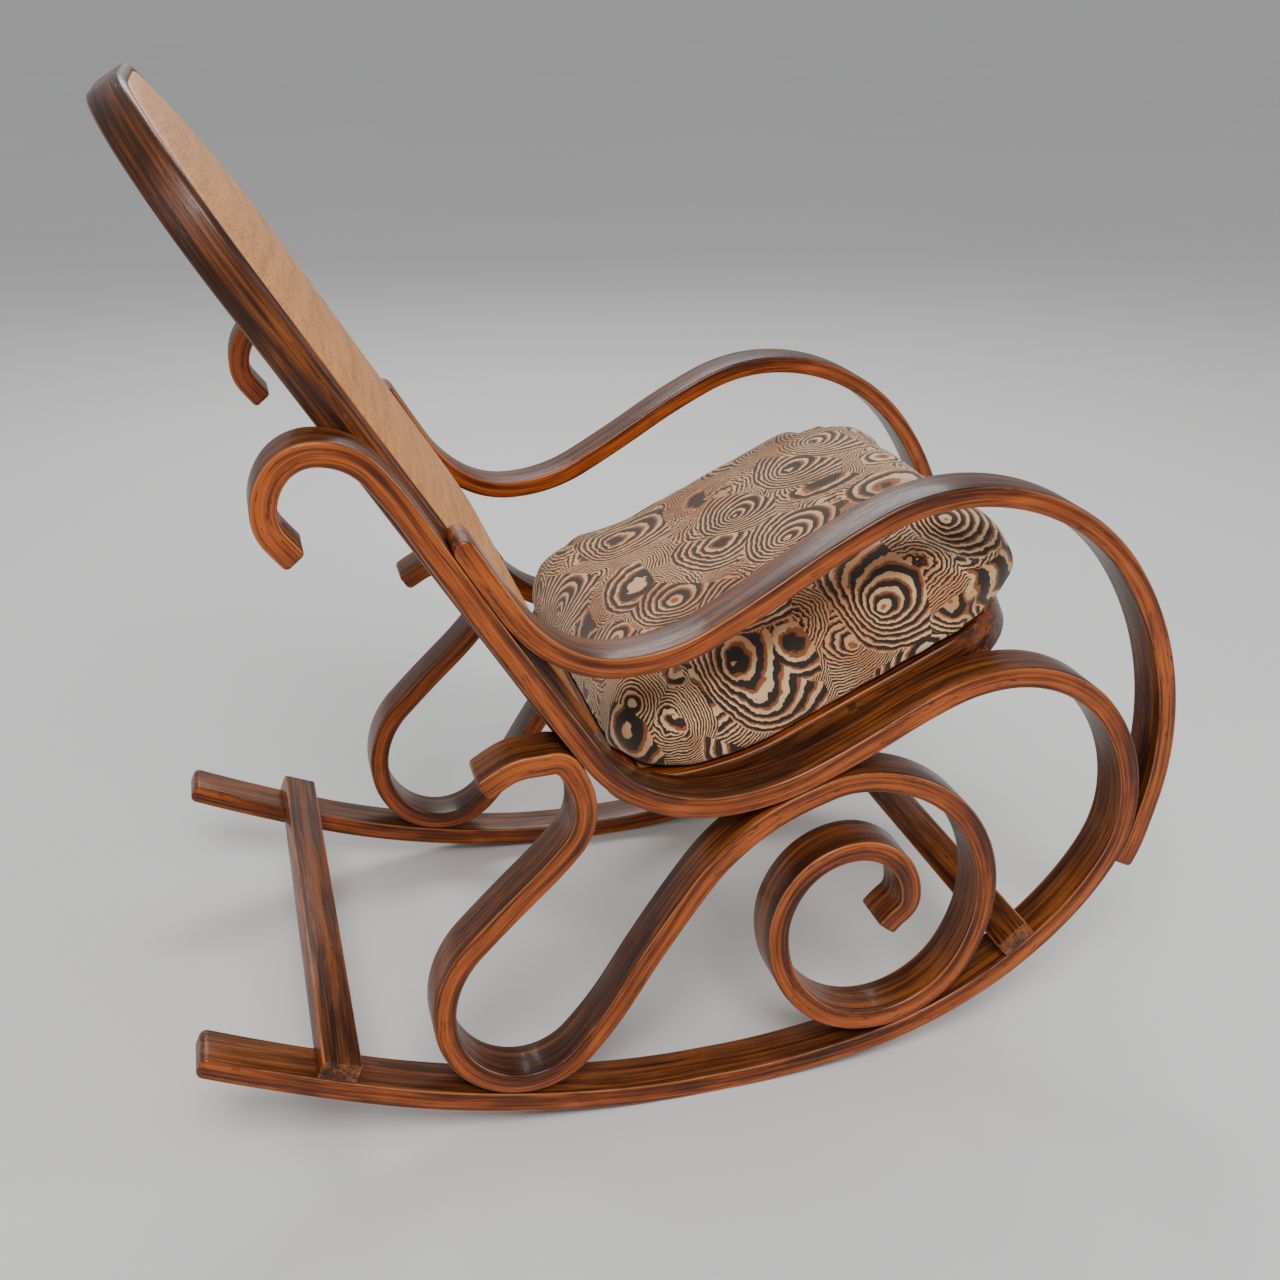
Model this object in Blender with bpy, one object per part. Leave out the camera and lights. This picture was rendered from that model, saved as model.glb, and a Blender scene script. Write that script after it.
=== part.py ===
"""Bentwood rocking chair.

Two identical side planes, each of three bent strips (side frame with its rocker, armrest and
scroll), are tied together by two crossbars, a cushioned seat ring and a hooped back with a
crowned panel. +X is the way the sitter faces, +Y the sitter's left, +Z up, and the chair stands
on z = 0 under the middle of its outline.
"""

from math import acos, atan2, ceil, cos, degrees, hypot, pi, radians, sin, sqrt

import bmesh
import bpy
from mathutils import Matrix, Vector

# ---------------------------------------------------------------- driving dimensions, in metres
OVERALL_WIDTH = 0.570           # outside to outside of the side planes
STRIP_DEPTH = 0.048             # width of every bent side strip, measured across the chair
FRAME_THICKNESS = 0.022         # side frame and rocker strip
ARM_THICKNESS = 0.020           # armrest strip
SCROLL_THICKNESS = 0.022        # scroll strip
STRIP_CHAMFER = 0.003           # eased long edges of the strips
FIT_GAP = 0.0003                # clearance between pieces that touch
CHORD_ERROR = 0.00030           # how far a facet may leave its true curve
LEAST_RADIUS = 0.004            # smallest corner of an inset outline

SEAT_RAIL_HEIGHT = 0.338        # lowest point of the seat rail's middle line
SEAT_CREST_HEIGHT = 0.434       # highest point of the seat rail, at the front
SEAT_CREST_REACH = 0.291        # how far forward that crest is
SEAT_BEND_SETBACK = 0.117       # steepest place of the rail, behind the crest
SEAT_BEND_SHARE = 0.604         # of the rail's rise that is behind that place
SEAT_BEND_STEEPNESS = 1.588     # slope there over the rail's mean slope
FRONT_REACH = 0.442             # foremost point of the front loop's middle line
HOOK_HEIGHT = 0.711             # top of the rear hook
ROCKER_REAR_REACH = 0.502       # how far back the rockers end
ROCKER_REAR_HEIGHT = 0.143      # height of their rear tips
ROCKER_LOW = FRAME_THICKNESS / 2
ROCKER_LEVEL = 0.030            # short level stretch on which the chair comes to rest
ARM_HEIGHT = 0.623              # top of the armrest's middle line
ARM_LOW_HEIGHT = 0.494          # where the armrest dips behind the elbow
ARM_REACH = 0.474               # foremost point of the armrest's middle line

CROSSBAR_WIDTH = 0.039          # along the rocker
CROSSBAR_THICKNESS = 0.020
CROSSBAR_CHAMFER = 0.002

BACK_RISE = 0.392               # back hoop's top above the head of the straight back run
BACK_STRIP_WIDTH = 0.026        # hoop strip, across the chair
BACK_STRIP_DEPTH = 0.036        # hoop strip, front to rear
BACK_SETBACK = 0.001            # hoop strip's middle behind the side frame's middle
BACK_CORNER_RADIUS = 0.165      # outer corners of the hoop's arched top
BACK_CORNER_STEPS = 12          # flats round each of those corners
BACK_LEG_OVERRUN = 0.002        # how far the hoop's legs pass the foot of the straight back run
BACK_RAIL_WIDTH = 0.040         # lower rail between the hoop's legs
BACK_RAIL_DEPTH = 0.018
BACK_RAIL_RISE = 0.030          # lower rail's lower edge above the legs' ends
BACK_RAIL_CHAMFER = 0.002
LIP_CHAMFER = 0.001             # edge of the hoop's rim beside the panel
PANEL_THICKNESS = 0.009         # thickness of the crowned panel
PANEL_CROWN = 0.018             # how far the panel's middle stands forward of its edge
PANEL_REBATE = 0.016            # how far the panel is let into the hoop

SEAT_REAR = -0.085              # rear of the seat ring
SEAT_FRONT = 0.352              # front of the seat ring, measured along the seat's curve
RING_THICKNESS = 0.022
RING_HEIGHT = 0.042
RING_CHAMFER = 0.002
RING_FRONT_RADIUS = 0.090
RING_REAR_RADIUS = 0.060
RING_TOP_REAR = 0.356           # top of the ring at its rear end
SEAT_REAR_SLOPE = -8.0          # slope of the seat's curve at the rear, degrees
SEAT_FRONT_STEEPNESS = 1.369    # slope of its straight front stretch over the rail's mean slope
SEAT_CURVE_LENGTH = 0.170       # length of the curved rear stretch
BOARD_THICKNESS = 0.009
BOARD_DROP = 0.008              # board's top below the ring's top
CUSHION_THICKNESS = 0.118
CUSHION_WALL = 0.028            # the cushion's cover and padding, open underneath
CUSHION_OVERHANG = 0.014        # how far the cushion's nose stands out in front of the ring

SCREW_HEAD_RADIUS = 0.0042
SCREW_HEAD_HEIGHT = 0.0030
SCREW_SHANK_RADIUS = 0.0021
SCREW_TIP = 0.004
SCREW_BITE = 0.013              # how far a screw reaches into the second piece
SCREW_SIDES = 8
HOLE_MOUTH = 0.002              # how far the cut for a screw reaches out of the face
ARM_SCREW_INSET = 0.07          # of the back run, in from each end of the armrest's lap
SEAT_SCREW_REACHES = (("rear", 0.060), ("front", 0.250))   # along the seat's curve
BACK_SCREW_DROP = 0.060         # upper screw below the head of the straight back run
BACK_SCREW_RISE = 0.018         # lower screw above the legs' ends

SIDE_Y = OVERALL_WIDTH / 2 - STRIP_DEPTH / 2          # middle plane of a side
INNER_Y = OVERALL_WIDTH / 2 - STRIP_DEPTH - FIT_GAP   # outer faces of what lies between the sides
SEAT_CLIMB = SEAT_CREST_HEIGHT - SEAT_RAIL_HEIGHT     # how far the seat rail rises forward
SEAT_SLOPE = degrees(atan2(SEAT_CLIMB, SEAT_CREST_REACH))
SIDES = (("left", 1), ("right", -1))

BEECH = (0.42, 0.150, 0.035, 1.0)
VENEER = (0.78, 0.54, 0.33, 1.0)
BIRCH = (0.62, 0.45, 0.27, 1.0)
FABRIC = (0.66, 0.55, 0.42, 1.0)
STEEL = (0.62, 0.60, 0.56, 1.0)


# ------------------------------------------------------------------------- lines made of arcs
# A run is (x, z, heading, length, curvature): a straight or an arc that starts at x, z.

def run_end(run, length=None):
    """Point and heading at a distance along a run, or at its end."""
    x, z, heading, full, curvature = run
    s = full if length is None else length
    turned = heading + curvature * s
    if abs(curvature) < 1e-6:
        return x + s * cos(heading), z + s * sin(heading), turned
    return (x + (sin(turned) - sin(heading)) / curvature,
            z - (cos(turned) - cos(heading)) / curvature, turned)


def run_to(x, z, heading, goal_x, goal_z):
    """The one arc that leaves a point along a heading and passes through a goal."""
    chord = hypot(goal_x - x, goal_z - z)
    swing = atan2(goal_z - z, goal_x - x) - heading
    swing = (swing + pi) % (2 * pi) - pi
    if abs(swing) < 1e-6:
        return x, z, heading, chord, 0.0
    radius = chord / (2 * sin(swing))
    return x, z, heading, radius * 2 * swing, 1 / radius


def arc_pair(start, end):
    """Two tangent arcs between two places, each given as x, z and heading in degrees."""
    x0, z0, h0 = start[0], start[1], radians(start[2])
    x1, z1, h1 = end[0], end[1], radians(end[2])
    vx, vz = x1 - x0, z1 - z0
    tx, tz = cos(h0) + cos(h1), sin(h0) + sin(h1)
    a = 2 * (1 - cos(h0 - h1))
    b = 2 * (vx * tx + vz * tz)
    c = -(vx * vx + vz * vz)
    reach = -c / b if abs(a) < 1e-9 else (sqrt(b * b - 4 * a * c) - b) / (2 * a)
    mid_x = (x0 + x1 + reach * (cos(h0) - cos(h1))) / 2
    mid_z = (z0 + z1 + reach * (sin(h0) - sin(h1))) / 2
    first = run_to(x0, z0, h0, mid_x, mid_z)
    return [first, run_to(mid_x, mid_z, run_end(first)[2], x1, z1)]


def line_through(places):
    """The whole line, as pairs of arcs between neighbouring places."""
    runs = []
    for start, end in zip(places[:-1], places[1:]):
        runs += arc_pair(start, end)
    return runs


def place_on(line, span, fraction):
    """x, z and heading at a fraction of the stretch between two neighbouring places."""
    first, second = line[2 * span], line[2 * span + 1]
    distance = fraction * (first[3] + second[3])
    if distance <= first[3]:
        return run_end(first, distance)
    return run_end(second, distance - first[3])


def beside(line, span, fraction, offset, reverse=False):
    """A place at an offset to the left of a line, heading along it or back along it."""
    x, z, heading = place_on(line, span, fraction)
    turn = 180 if reverse else 0
    return x - offset * sin(heading), z + offset * cos(heading), degrees(heading) + turn


def split_line(line, marks):
    """The same line with its runs divided at marks, each a span and a fraction."""
    cuts = {}
    for span, fraction in marks:
        distance = fraction * (line[2 * span][3] + line[2 * span + 1][3])
        index = 2 * span
        if distance > line[index][3]:
            distance -= line[index][3]
            index += 1
        cuts.setdefault(index, []).append(distance)
    runs = []
    for index, run in enumerate(line):
        done = 0.0
        for stop in sorted(cuts.get(index, [])) + [run[3]]:
            if stop - done > 1e-5:
                x, z, heading = run_end(run, done)
                runs.append((x, z, heading, stop - done, run[4]))
                done = stop
    return runs


# ------------------------------------------------------------------------- places of the strips

def side_frame_line():
    return line_through([
        (-0.370, HOOK_HEIGHT - 0.089, 130),
        (-0.392, HOOK_HEIGHT - 0.048, 90),
        (-0.350, HOOK_HEIGHT, 0),
        (-0.272, HOOK_HEIGHT - 0.069, -60),
        (-0.125, SEAT_RAIL_HEIGHT + 0.066, -57),
        (0.000, SEAT_RAIL_HEIGHT, 0),
        (SEAT_CREST_REACH - SEAT_BEND_SETBACK, SEAT_RAIL_HEIGHT + SEAT_BEND_SHARE * SEAT_CLIMB,
         SEAT_BEND_STEEPNESS * SEAT_SLOPE),
        (SEAT_CREST_REACH, SEAT_CREST_HEIGHT, 0),
        (FRONT_REACH, SEAT_CREST_HEIGHT - 0.166, -90),
        (FRONT_REACH - 0.058, SEAT_CREST_HEIGHT - 0.287, -133),
        (0.149, ROCKER_LOW + 0.0125, -170.5),
        (ROCKER_LEVEL / 2, ROCKER_LOW, -180),
        (-ROCKER_LEVEL / 2, ROCKER_LOW, -180),
        (-0.201, ROCKER_LOW + 0.021, -192),
        (-ROCKER_REAR_REACH, ROCKER_REAR_HEIGHT, -206),
    ])


# Stretches between neighbouring places of the side frame's line, by number.
BACK_RUN, SEAT_REAR_BEND, SEAT_RISE, SEAT_CREST = 3, 4, 5, 6
FRONT_FOOT, FRONT_SWEEP, ROCKER_TAIL = 8, 9, 13

FRAME = side_frame_line()
TO_ARM = FRAME_THICKNESS / 2 + ARM_THICKNESS / 2 + FIT_GAP
TO_SCROLL = FRAME_THICKNESS / 2 + SCROLL_THICKNESS / 2 + FIT_GAP

ARM_LAP = ((BACK_RUN, 0.11), (BACK_RUN, 0.40))
ARM_FOOT_LAP = ((FRONT_FOOT, 0.24), (FRONT_FOOT, 0.46))
SCROLL_TOUCHES = ((BACK_RUN, 0.965), (ROCKER_TAIL, 0.045), (SEAT_RISE, 0.43), (FRONT_SWEEP, 0.76))
SCROLL_CREST = (SEAT_RISE, 0.687)
SCROLL_CREST_DROP = 0.0305      # middle line of the scroll's crest below that of the seat rail
CROSSBAR_SEATS = (("rear", ROCKER_TAIL, 0.60), ("front", FRONT_SWEEP, 0.21))


def armrest_line():
    return line_through([
        beside(FRAME, *ARM_LAP[0], TO_ARM),
        beside(FRAME, *ARM_LAP[1], TO_ARM),
        (-0.095, ARM_LOW_HEIGHT, 0),
        (0.070, (ARM_LOW_HEIGHT + ARM_HEIGHT) / 2 + 0.004, 32),
        (0.228, ARM_HEIGHT, 0),
        (ARM_REACH, ARM_HEIGHT - 0.292, -90),
        beside(FRAME, *ARM_FOOT_LAP[0], TO_ARM),
        beside(FRAME, *ARM_FOOT_LAP[1], TO_ARM),
    ])


def scroll_line():
    back, tail, seat, sweep = SCROLL_TOUCHES
    return line_through([
        (-0.229, SEAT_RAIL_HEIGHT + 0.050, 34),
        (-0.184, SEAT_RAIL_HEIGHT + 0.069, 0),
        beside(FRAME, *back, -TO_SCROLL),
        (-0.134, SEAT_RAIL_HEIGHT + 0.016, -90),
        (-0.180, 0.282, -137),
        (-0.275, 0.143, -90),
        beside(FRAME, *tail, -TO_SCROLL, reverse=True),
        (-0.095, 0.141, 59),
        beside(FRAME, *seat, -TO_SCROLL),
        (*beside(FRAME, *SCROLL_CREST, -SCROLL_CREST_DROP)[:2], 0),
        (0.288, 0.191, -90),
        beside(FRAME, *sweep, -TO_SCROLL),
        (0.061, 0.177, 90),
        (0.140, 0.264, 0),
        (0.203, 0.200, -90),
        (0.178, 0.166, -128),
    ])


ARM = armrest_line()
SCROLL = scroll_line()


# ------------------------------------------------------------------------- mesh tools

def clear_scene():
    for thing in list(bpy.data.objects):
        bpy.data.objects.remove(thing, do_unlink=True)


def make_material(name, colour, roughness, metallic=0.0):
    material = bpy.data.materials.new(name)
    material.use_nodes = True
    shader = material.node_tree.nodes["Principled BSDF"]
    shader.inputs["Base Color"].default_value = colour
    shader.inputs["Roughness"].default_value = roughness
    shader.inputs["Metallic"].default_value = metallic
    return material


def add_object(name, bm, material, smooth_angle=None):
    """A new object from a finished bmesh."""
    bmesh.ops.remove_doubles(bm, verts=bm.verts, dist=1e-6)
    bmesh.ops.recalc_face_normals(bm, faces=bm.faces)
    mesh = bpy.data.meshes.new(name)
    bm.to_mesh(mesh)
    bm.free()
    if smooth_angle:
        mesh.shade_smooth()
        mesh.set_sharp_from_angle(angle=radians(smooth_angle))
    thing = bpy.data.objects.new(name, mesh)
    thing.data.materials.append(material)
    bpy.context.collection.objects.link(thing)
    return thing


def chamfered_section(thickness, depth, chamfer):
    """Corners of a strip's section: across its thickness and across the chair."""
    t, d = thickness / 2, depth / 2
    return [(t - chamfer, -d), (t, chamfer - d), (t, d - chamfer), (t - chamfer, d),
            (chamfer - t, d), (-t, d - chamfer), (-t, chamfer - d), (chamfer - t, -d)]


def sweep_strip(runs, thickness, depth, chamfer):
    """A strip bent along the runs, as a bmesh about y = 0."""
    bm = bmesh.new()
    x, z, heading = runs[0][:3]
    across = Vector((-sin(heading), 0, cos(heading)))
    corners = [bm.verts.new(Vector((x, 0, z)) + across * a + Vector((0, b, 0)))
               for a, b in chamfered_section(thickness, depth, chamfer)]
    face = bm.faces.new(corners)
    for x, z, heading, length, curvature in runs:
        geometry = [face] + list(face.edges) + list(face.verts)
        if abs(curvature) < 1e-6:
            shift = Vector((cos(heading), 0, sin(heading))) * length
            grown = bmesh.ops.spin(bm, geom=geometry, cent=(0, 0, 0), axis=(0, 1, 0), dvec=shift,
                                   angle=0, steps=1, use_duplicate=False)
        else:
            radius = 1 / curvature
            centre = (x - sin(heading) * radius, 0, z + cos(heading) * radius)
            facet = 2 * acos(1 - CHORD_ERROR / (abs(radius) + thickness / 2))
            steps = max(1, ceil(abs(length * curvature) / facet))
            grown = bmesh.ops.spin(bm, geom=geometry, cent=centre, axis=(0, 1, 0),
                                   angle=-length * curvature, steps=steps, use_duplicate=False)
        face = [item for item in grown["geom_last"] if isinstance(item, bmesh.types.BMFace)][0]
    return bm


def block(size, chamfer):
    """A plain box about the origin with eased edges."""
    bm = bmesh.new()
    bmesh.ops.create_cube(bm, size=1, matrix=Matrix.Diagonal((*size, 1)))
    if chamfer:
        bmesh.ops.bevel(bm, geom=list(bm.edges), offset=chamfer, segments=1, affect="EDGES",
                        profile=0.5, material=-1)
    return bm


def outline(rear, front, half_width, rear_radius, front_radius, side_parts, corner_steps):
    """Points round a flat shape with rounded corners, its long sides divided evenly."""
    points = []
    corners = ((front, half_width, front_radius, 0), (rear, half_width, rear_radius, 90),
               (rear, -half_width, rear_radius, 180), (front, -half_width, front_radius, 270))
    for x, y, radius, start in corners:
        centre_x = x - radius if x == front else x + radius
        centre_y = y - radius if y > 0 else y + radius
        for step in range(corner_steps + 1):
            angle = radians(start + 90 * step / corner_steps)
            points.append((centre_x + radius * cos(angle), centre_y + radius * sin(angle)))
        if start in (0, 180):
            x0, y0 = points[-1]
            length = front - rear - front_radius - rear_radius
            step = (length if start == 180 else -length) / side_parts
            points += [(x0 + step * i, y0) for i in range(1, side_parts)]
    return points


def add_loop(bm, points, height):
    verts = [bm.verts.new((x, y, height)) for x, y in points]
    return [bm.edges.new((a, b)) for a, b in zip(verts, verts[1:] + verts[:1])]


def stacked(levels):
    """A closed solid through loops that have the same number of points, lowest first."""
    bm = bmesh.new()
    loops = [add_loop(bm, points, height) for points, height in levels]
    for lower, upper in zip(loops[:-1], loops[1:]):
        bmesh.ops.bridge_loops(bm, edges=lower + upper)
    bmesh.ops.triangle_fill(bm, use_beauty=True, edges=loops[0])
    bmesh.ops.triangle_fill(bm, use_beauty=True, edges=loops[-1])
    return bm


def band(loops, closed):
    """A closed solid whose section runs through lines of points laid side by side."""
    bm = bmesh.new()
    rows = [[bm.verts.new(point) for point in loop] for loop in loops]
    count = len(rows[0])
    for near, far in zip(rows, rows[1:] + rows[:1]):
        for index in range(count if closed else count - 1):
            after = (index + 1) % count
            bm.faces.new((near[index], near[after], far[after], far[index]))
    if not closed:
        for end in (0, -1):
            bm.faces.new([row[end] for row in rows])
    return bm


def eased_box_section(width, height, ease):
    """Section of a rectangular strip with eased edges, from its outer lower edge."""
    return [(ease, 0), (width - ease, 0), (width, ease), (width, height - ease),
            (width - ease, height), (ease, height), (0, height - ease), (0, ease)]


# ------------------------------------------------------------------------- seat curve

def seat_curve():
    """Runs along the ring's top in side view: a curved rear stretch, then a straight."""
    turn = radians(SEAT_FRONT_STEEPNESS * SEAT_SLOPE - SEAT_REAR_SLOPE)
    bend = (SEAT_REAR, RING_TOP_REAR, radians(SEAT_REAR_SLOPE), SEAT_CURVE_LENGTH,
            turn / SEAT_CURVE_LENGTH)
    x, z, heading = run_end(bend)
    return bend, (x, z, heading, 1.0, 0.0)


def lay_on_seat(bm):
    """Bend a shape drawn flat, with z = 0 at the ring's top, onto the seat's curve."""
    bend, straight = seat_curve()
    for vert in bm.verts:
        distance = vert.co.x - SEAT_REAR
        if distance <= SEAT_CURVE_LENGTH:
            x, z, heading = run_end(bend, distance)
        else:
            x, z, heading = run_end(straight, distance - SEAT_CURVE_LENGTH)
        vert.co = (x - vert.co.z * sin(heading), vert.co.y, z + vert.co.z * cos(heading))


def seat_outline(inset, side_parts=12, corner_steps=6):
    return outline(SEAT_REAR + inset, SEAT_FRONT - inset, INNER_Y - inset,
                   max(RING_REAR_RADIUS - inset, LEAST_RADIUS),
                   max(RING_FRONT_RADIUS - inset, LEAST_RADIUS), side_parts, corner_steps)


# ------------------------------------------------------------------------- screws

def screw_profile(length, clearance, proud):
    """Radius and depth down a countersunk screw, or down the hole that takes it."""
    head = SCREW_HEAD_RADIUS + clearance
    shank = SCREW_SHANK_RADIUS + clearance
    points = [(0, proud), (head, proud)]
    if proud > 0:
        points.append((head, -FIT_GAP))
    points += [(shank, -SCREW_HEAD_HEIGHT - FIT_GAP), (shank, SCREW_TIP - length),
               (0, -length - clearance)]
    return points


def turned(bm, points, frame):
    """Turn a profile about its axis and add it to a bmesh, set in a frame."""
    before = set(bm.verts)
    verts = [bm.verts.new((r, 0, z)) for r, z in points]
    edges = [bm.edges.new(pair) for pair in zip(verts, verts[1:])]
    bmesh.ops.spin(bm, geom=verts + edges, cent=(0, 0, 0), axis=(0, 0, 1), angle=2 * pi,
                   steps=SCREW_SIDES, use_merge=True, use_duplicate=False)
    bmesh.ops.transform(bm, matrix=frame, verts=[vert for vert in bm.verts if vert not in before])


def screw_frame(head, direction):
    """Frame with its origin at the head and its -Z along the screw."""
    turn = (-Vector(direction)).to_track_quat("Z", "Y").to_matrix().to_4x4()
    return Matrix.Translation(head) @ turn


class Joints:
    """Keeps the screws and, for each piece, the holes they need."""

    def __init__(self, material):
        self.material = material
        self.holes = {}

    def screw(self, name, head, direction, length, pieces):
        bm = bmesh.new()
        turned(bm, screw_profile(length, 0, -FIT_GAP), Matrix.Identity(4))
        thing = add_object(name, bm, self.material, 40)
        thing.matrix_world = screw_frame(head, direction)
        for piece in pieces:
            self.holes.setdefault(piece, []).append((head, direction, length))

    def drill(self):
        for name, holes in self.holes.items():
            bm = bmesh.new()
            for head, direction, length in holes:
                turned(bm, screw_profile(length, FIT_GAP, HOLE_MOUTH), screw_frame(head, direction))
            cutter = add_object(name + "_drill", bm, self.material)
            cutter.hide_render = True
            cutter.display_type = "WIRE"
            cut = bpy.data.objects[name].modifiers.new("screw_holes", "BOOLEAN")
            cut.operation = "DIFFERENCE"
            cut.solver = "EXACT"
            cut.object = cutter


# ------------------------------------------------------------------------- pieces

def build_side(side, sign, beech):
    """The three bent strips of one side plane."""
    marks = [*ARM_LAP, *ARM_FOOT_LAP, *SCROLL_TOUCHES]
    for _, span, fraction in CROSSBAR_SEATS:
        marks += [(span, mark) for mark in crossbar_marks(span, fraction)]
    strips = (("side_frame", split_line(FRAME, marks), FRAME_THICKNESS),
              ("armrest", ARM, ARM_THICKNESS),
              ("scroll", SCROLL, SCROLL_THICKNESS))
    for name, runs, thickness in strips:
        strip = add_object(f"{side}_{name}", sweep_strip(runs, thickness, STRIP_DEPTH, STRIP_CHAMFER),
                           beech, 40)
        strip.location.y = sign * SIDE_Y


def crossbar_marks(span, fraction):
    """Fractions at which a bar's two lower edges bear on the hollow side of the rocker."""
    reach = (CROSSBAR_WIDTH / 2 - CROSSBAR_CHAMFER) / (FRAME[2 * span][3] + FRAME[2 * span + 1][3])
    return fraction - reach, fraction + reach


def build_crossbars(beech):
    for name, span, fraction in CROSSBAR_SEATS:
        (x0, z0, _), (x1, z1, _) = (beside(FRAME, span, mark, -FRAME_THICKNESS / 2 - FIT_GAP)
                                    for mark in crossbar_marks(span, fraction))
        slope = atan2(z1 - z0, x1 - x0)
        rise = CROSSBAR_THICKNESS / 2
        bar = add_object(f"{name}_crossbar",
                         block((CROSSBAR_WIDTH, OVERALL_WIDTH, CROSSBAR_THICKNESS), CROSSBAR_CHAMFER),
                         beech)
        bar.location = ((x0 + x1) / 2 + rise * sin(slope), 0, (z0 + z1) / 2 - rise * cos(slope))
        bar.rotation_euler.y = -slope


def back_frame():
    """Origin at the head of the back run, local +X down the back, local +Z out of its front."""
    x0, z0 = place_on(FRAME, BACK_RUN, 0)[:2]
    x1, z1 = place_on(FRAME, BACK_RUN, 1)[:2]
    down = atan2(z1 - z0, x1 - x0)
    empty = bpy.data.objects.new("back_frame", None)
    bpy.context.collection.objects.link(empty)
    empty.location = (x0 + BACK_SETBACK * sin(down), 0, z0 - BACK_SETBACK * cos(down))
    empty.rotation_euler.y = -down
    return empty, hypot(x1 - x0, z1 - z0)


def build_back(beech, veneer):
    frame, run_length = back_frame()
    leg_end = run_length + BACK_LEG_OVERRUN
    front = BACK_STRIP_DEPTH / 2
    shelf = front - PANEL_THICKNESS - FIT_GAP

    def hoop_loop(inset, bottom):
        """Open line round the hoop's legs and top, at an inset from its outer face."""
        radius = max(BACK_CORNER_RADIUS - inset, LEAST_RADIUS)
        points = []
        for centre_y, start in ((INNER_Y - BACK_CORNER_RADIUS, 0), (BACK_CORNER_RADIUS - INNER_Y, 90)):
            for step in range(BACK_CORNER_STEPS + 1):
                angle = radians(start + 90 * step / BACK_CORNER_STEPS)
                points.append((-BACK_RISE + BACK_CORNER_RADIUS - radius * sin(angle),
                               centre_y + radius * cos(angle)))
        return [(bottom, INNER_Y - inset), *points, (bottom, inset - INNER_Y)]

    ease = STRIP_CHAMFER
    lip = BACK_STRIP_WIDTH - PANEL_REBATE
    section = [(ease, -front), (BACK_STRIP_WIDTH - ease, -front), (BACK_STRIP_WIDTH, ease - front),
               (BACK_STRIP_WIDTH, shelf), (lip, shelf), (lip, front - LIP_CHAMFER),
               (lip - LIP_CHAMFER, front), (ease, front), (0, front - ease), (0, ease - front)]
    loops = [[(x, y, height) for x, y in hoop_loop(inset, leg_end)] for inset, height in section]
    hoop = add_object("back_hoop", band(loops, closed=False), beech, 40)

    rail_middle = leg_end - BACK_RAIL_RISE - BACK_RAIL_WIDTH / 2
    rail_half = INNER_Y - BACK_STRIP_WIDTH - FIT_GAP
    rail_size = (BACK_RAIL_WIDTH, 2 * rail_half, BACK_RAIL_DEPTH)
    rail = add_object("back_lower_rail", block(rail_size, BACK_RAIL_CHAMFER), beech)
    rail.location = (rail_middle, 0, shelf - FIT_GAP - BACK_RAIL_DEPTH / 2)

    edge = BACK_STRIP_WIDTH - PANEL_REBATE + FIT_GAP
    bottom = rail_middle + BACK_RAIL_WIDTH / 2
    radius = BACK_CORNER_RADIUS - edge

    def panel_loop(inset):
        return outline(-BACK_RISE + edge + inset, bottom - inset, INNER_Y - edge - inset,
                       max(radius - inset, LEAST_RADIUS), LEAST_RADIUS, 1,
                       BACK_CORNER_STEPS)

    def crown(share):
        return PANEL_CROWN * (1 - (1 - share) ** 2)

    half = INNER_Y - edge
    shares = (0.08, 0.20, 0.36, 0.55, 0.76)
    levels = [(panel_loop(share * half), crown(share)) for share in reversed(shares)]
    levels += [(panel_loop(0), 0), (panel_loop(0), PANEL_THICKNESS)]
    levels += [(panel_loop(share * half), crown(share) + PANEL_THICKNESS) for share in shares]
    panel = add_object("back_panel", stacked(levels), veneer, 40)
    panel.location.z = shelf + FIT_GAP
    for piece in (hoop, rail, panel):
        piece.parent = frame
    return frame, leg_end


def build_seat(beech, birch, fabric):
    section = eased_box_section(RING_THICKNESS, RING_HEIGHT, RING_CHAMFER)
    loops = [[(x, y, height - RING_HEIGHT) for x, y in seat_outline(inset)]
             for inset, height in section]
    bm = band(loops, closed=True)
    lay_on_seat(bm)
    add_object("seat_ring", bm, beech, 40)

    board = seat_outline(RING_THICKNESS + FIT_GAP)
    bm = stacked([(board, -BOARD_DROP - BOARD_THICKNESS), (board, -BOARD_DROP)])
    lay_on_seat(bm)
    add_object("seat_board", bm, birch)

    def cushion_loop(inset):
        return outline(SEAT_REAR + inset, SEAT_FRONT + CUSHION_OVERHANG - inset, INNER_Y - inset,
                       max(RING_REAR_RADIUS - inset, 3 * LEAST_RADIUS),
                       max(RING_FRONT_RADIUS - inset, 3 * LEAST_RADIUS), 5, 4)

    # Each row is an inset from the cushion's outline and a share of the height at that inset.
    inner = ((0.150, 1.00), (0.085, 0.98), (0.045, 0.80), (CUSHION_WALL + LEAST_RADIUS, 0.45),
             (CUSHION_WALL + LEAST_RADIUS, 0.011))
    outer = ((0.016, 0.007), (0.004, 0.13), (0.001, 0.33), (0.008, 0.56), (0.026, 0.76),
             (0.060, 0.90), (0.110, 0.97), (0.165, 1.00))
    levels = [(cushion_loop(inset), share * height)
              for rows, height in ((inner, CUSHION_THICKNESS - CUSHION_WALL), (outer, CUSHION_THICKNESS))
              for inset, share in rows]
    bm = stacked(levels)
    lay_on_seat(bm)
    add_object("seat_cushion", bm, fabric, 40)


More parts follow.
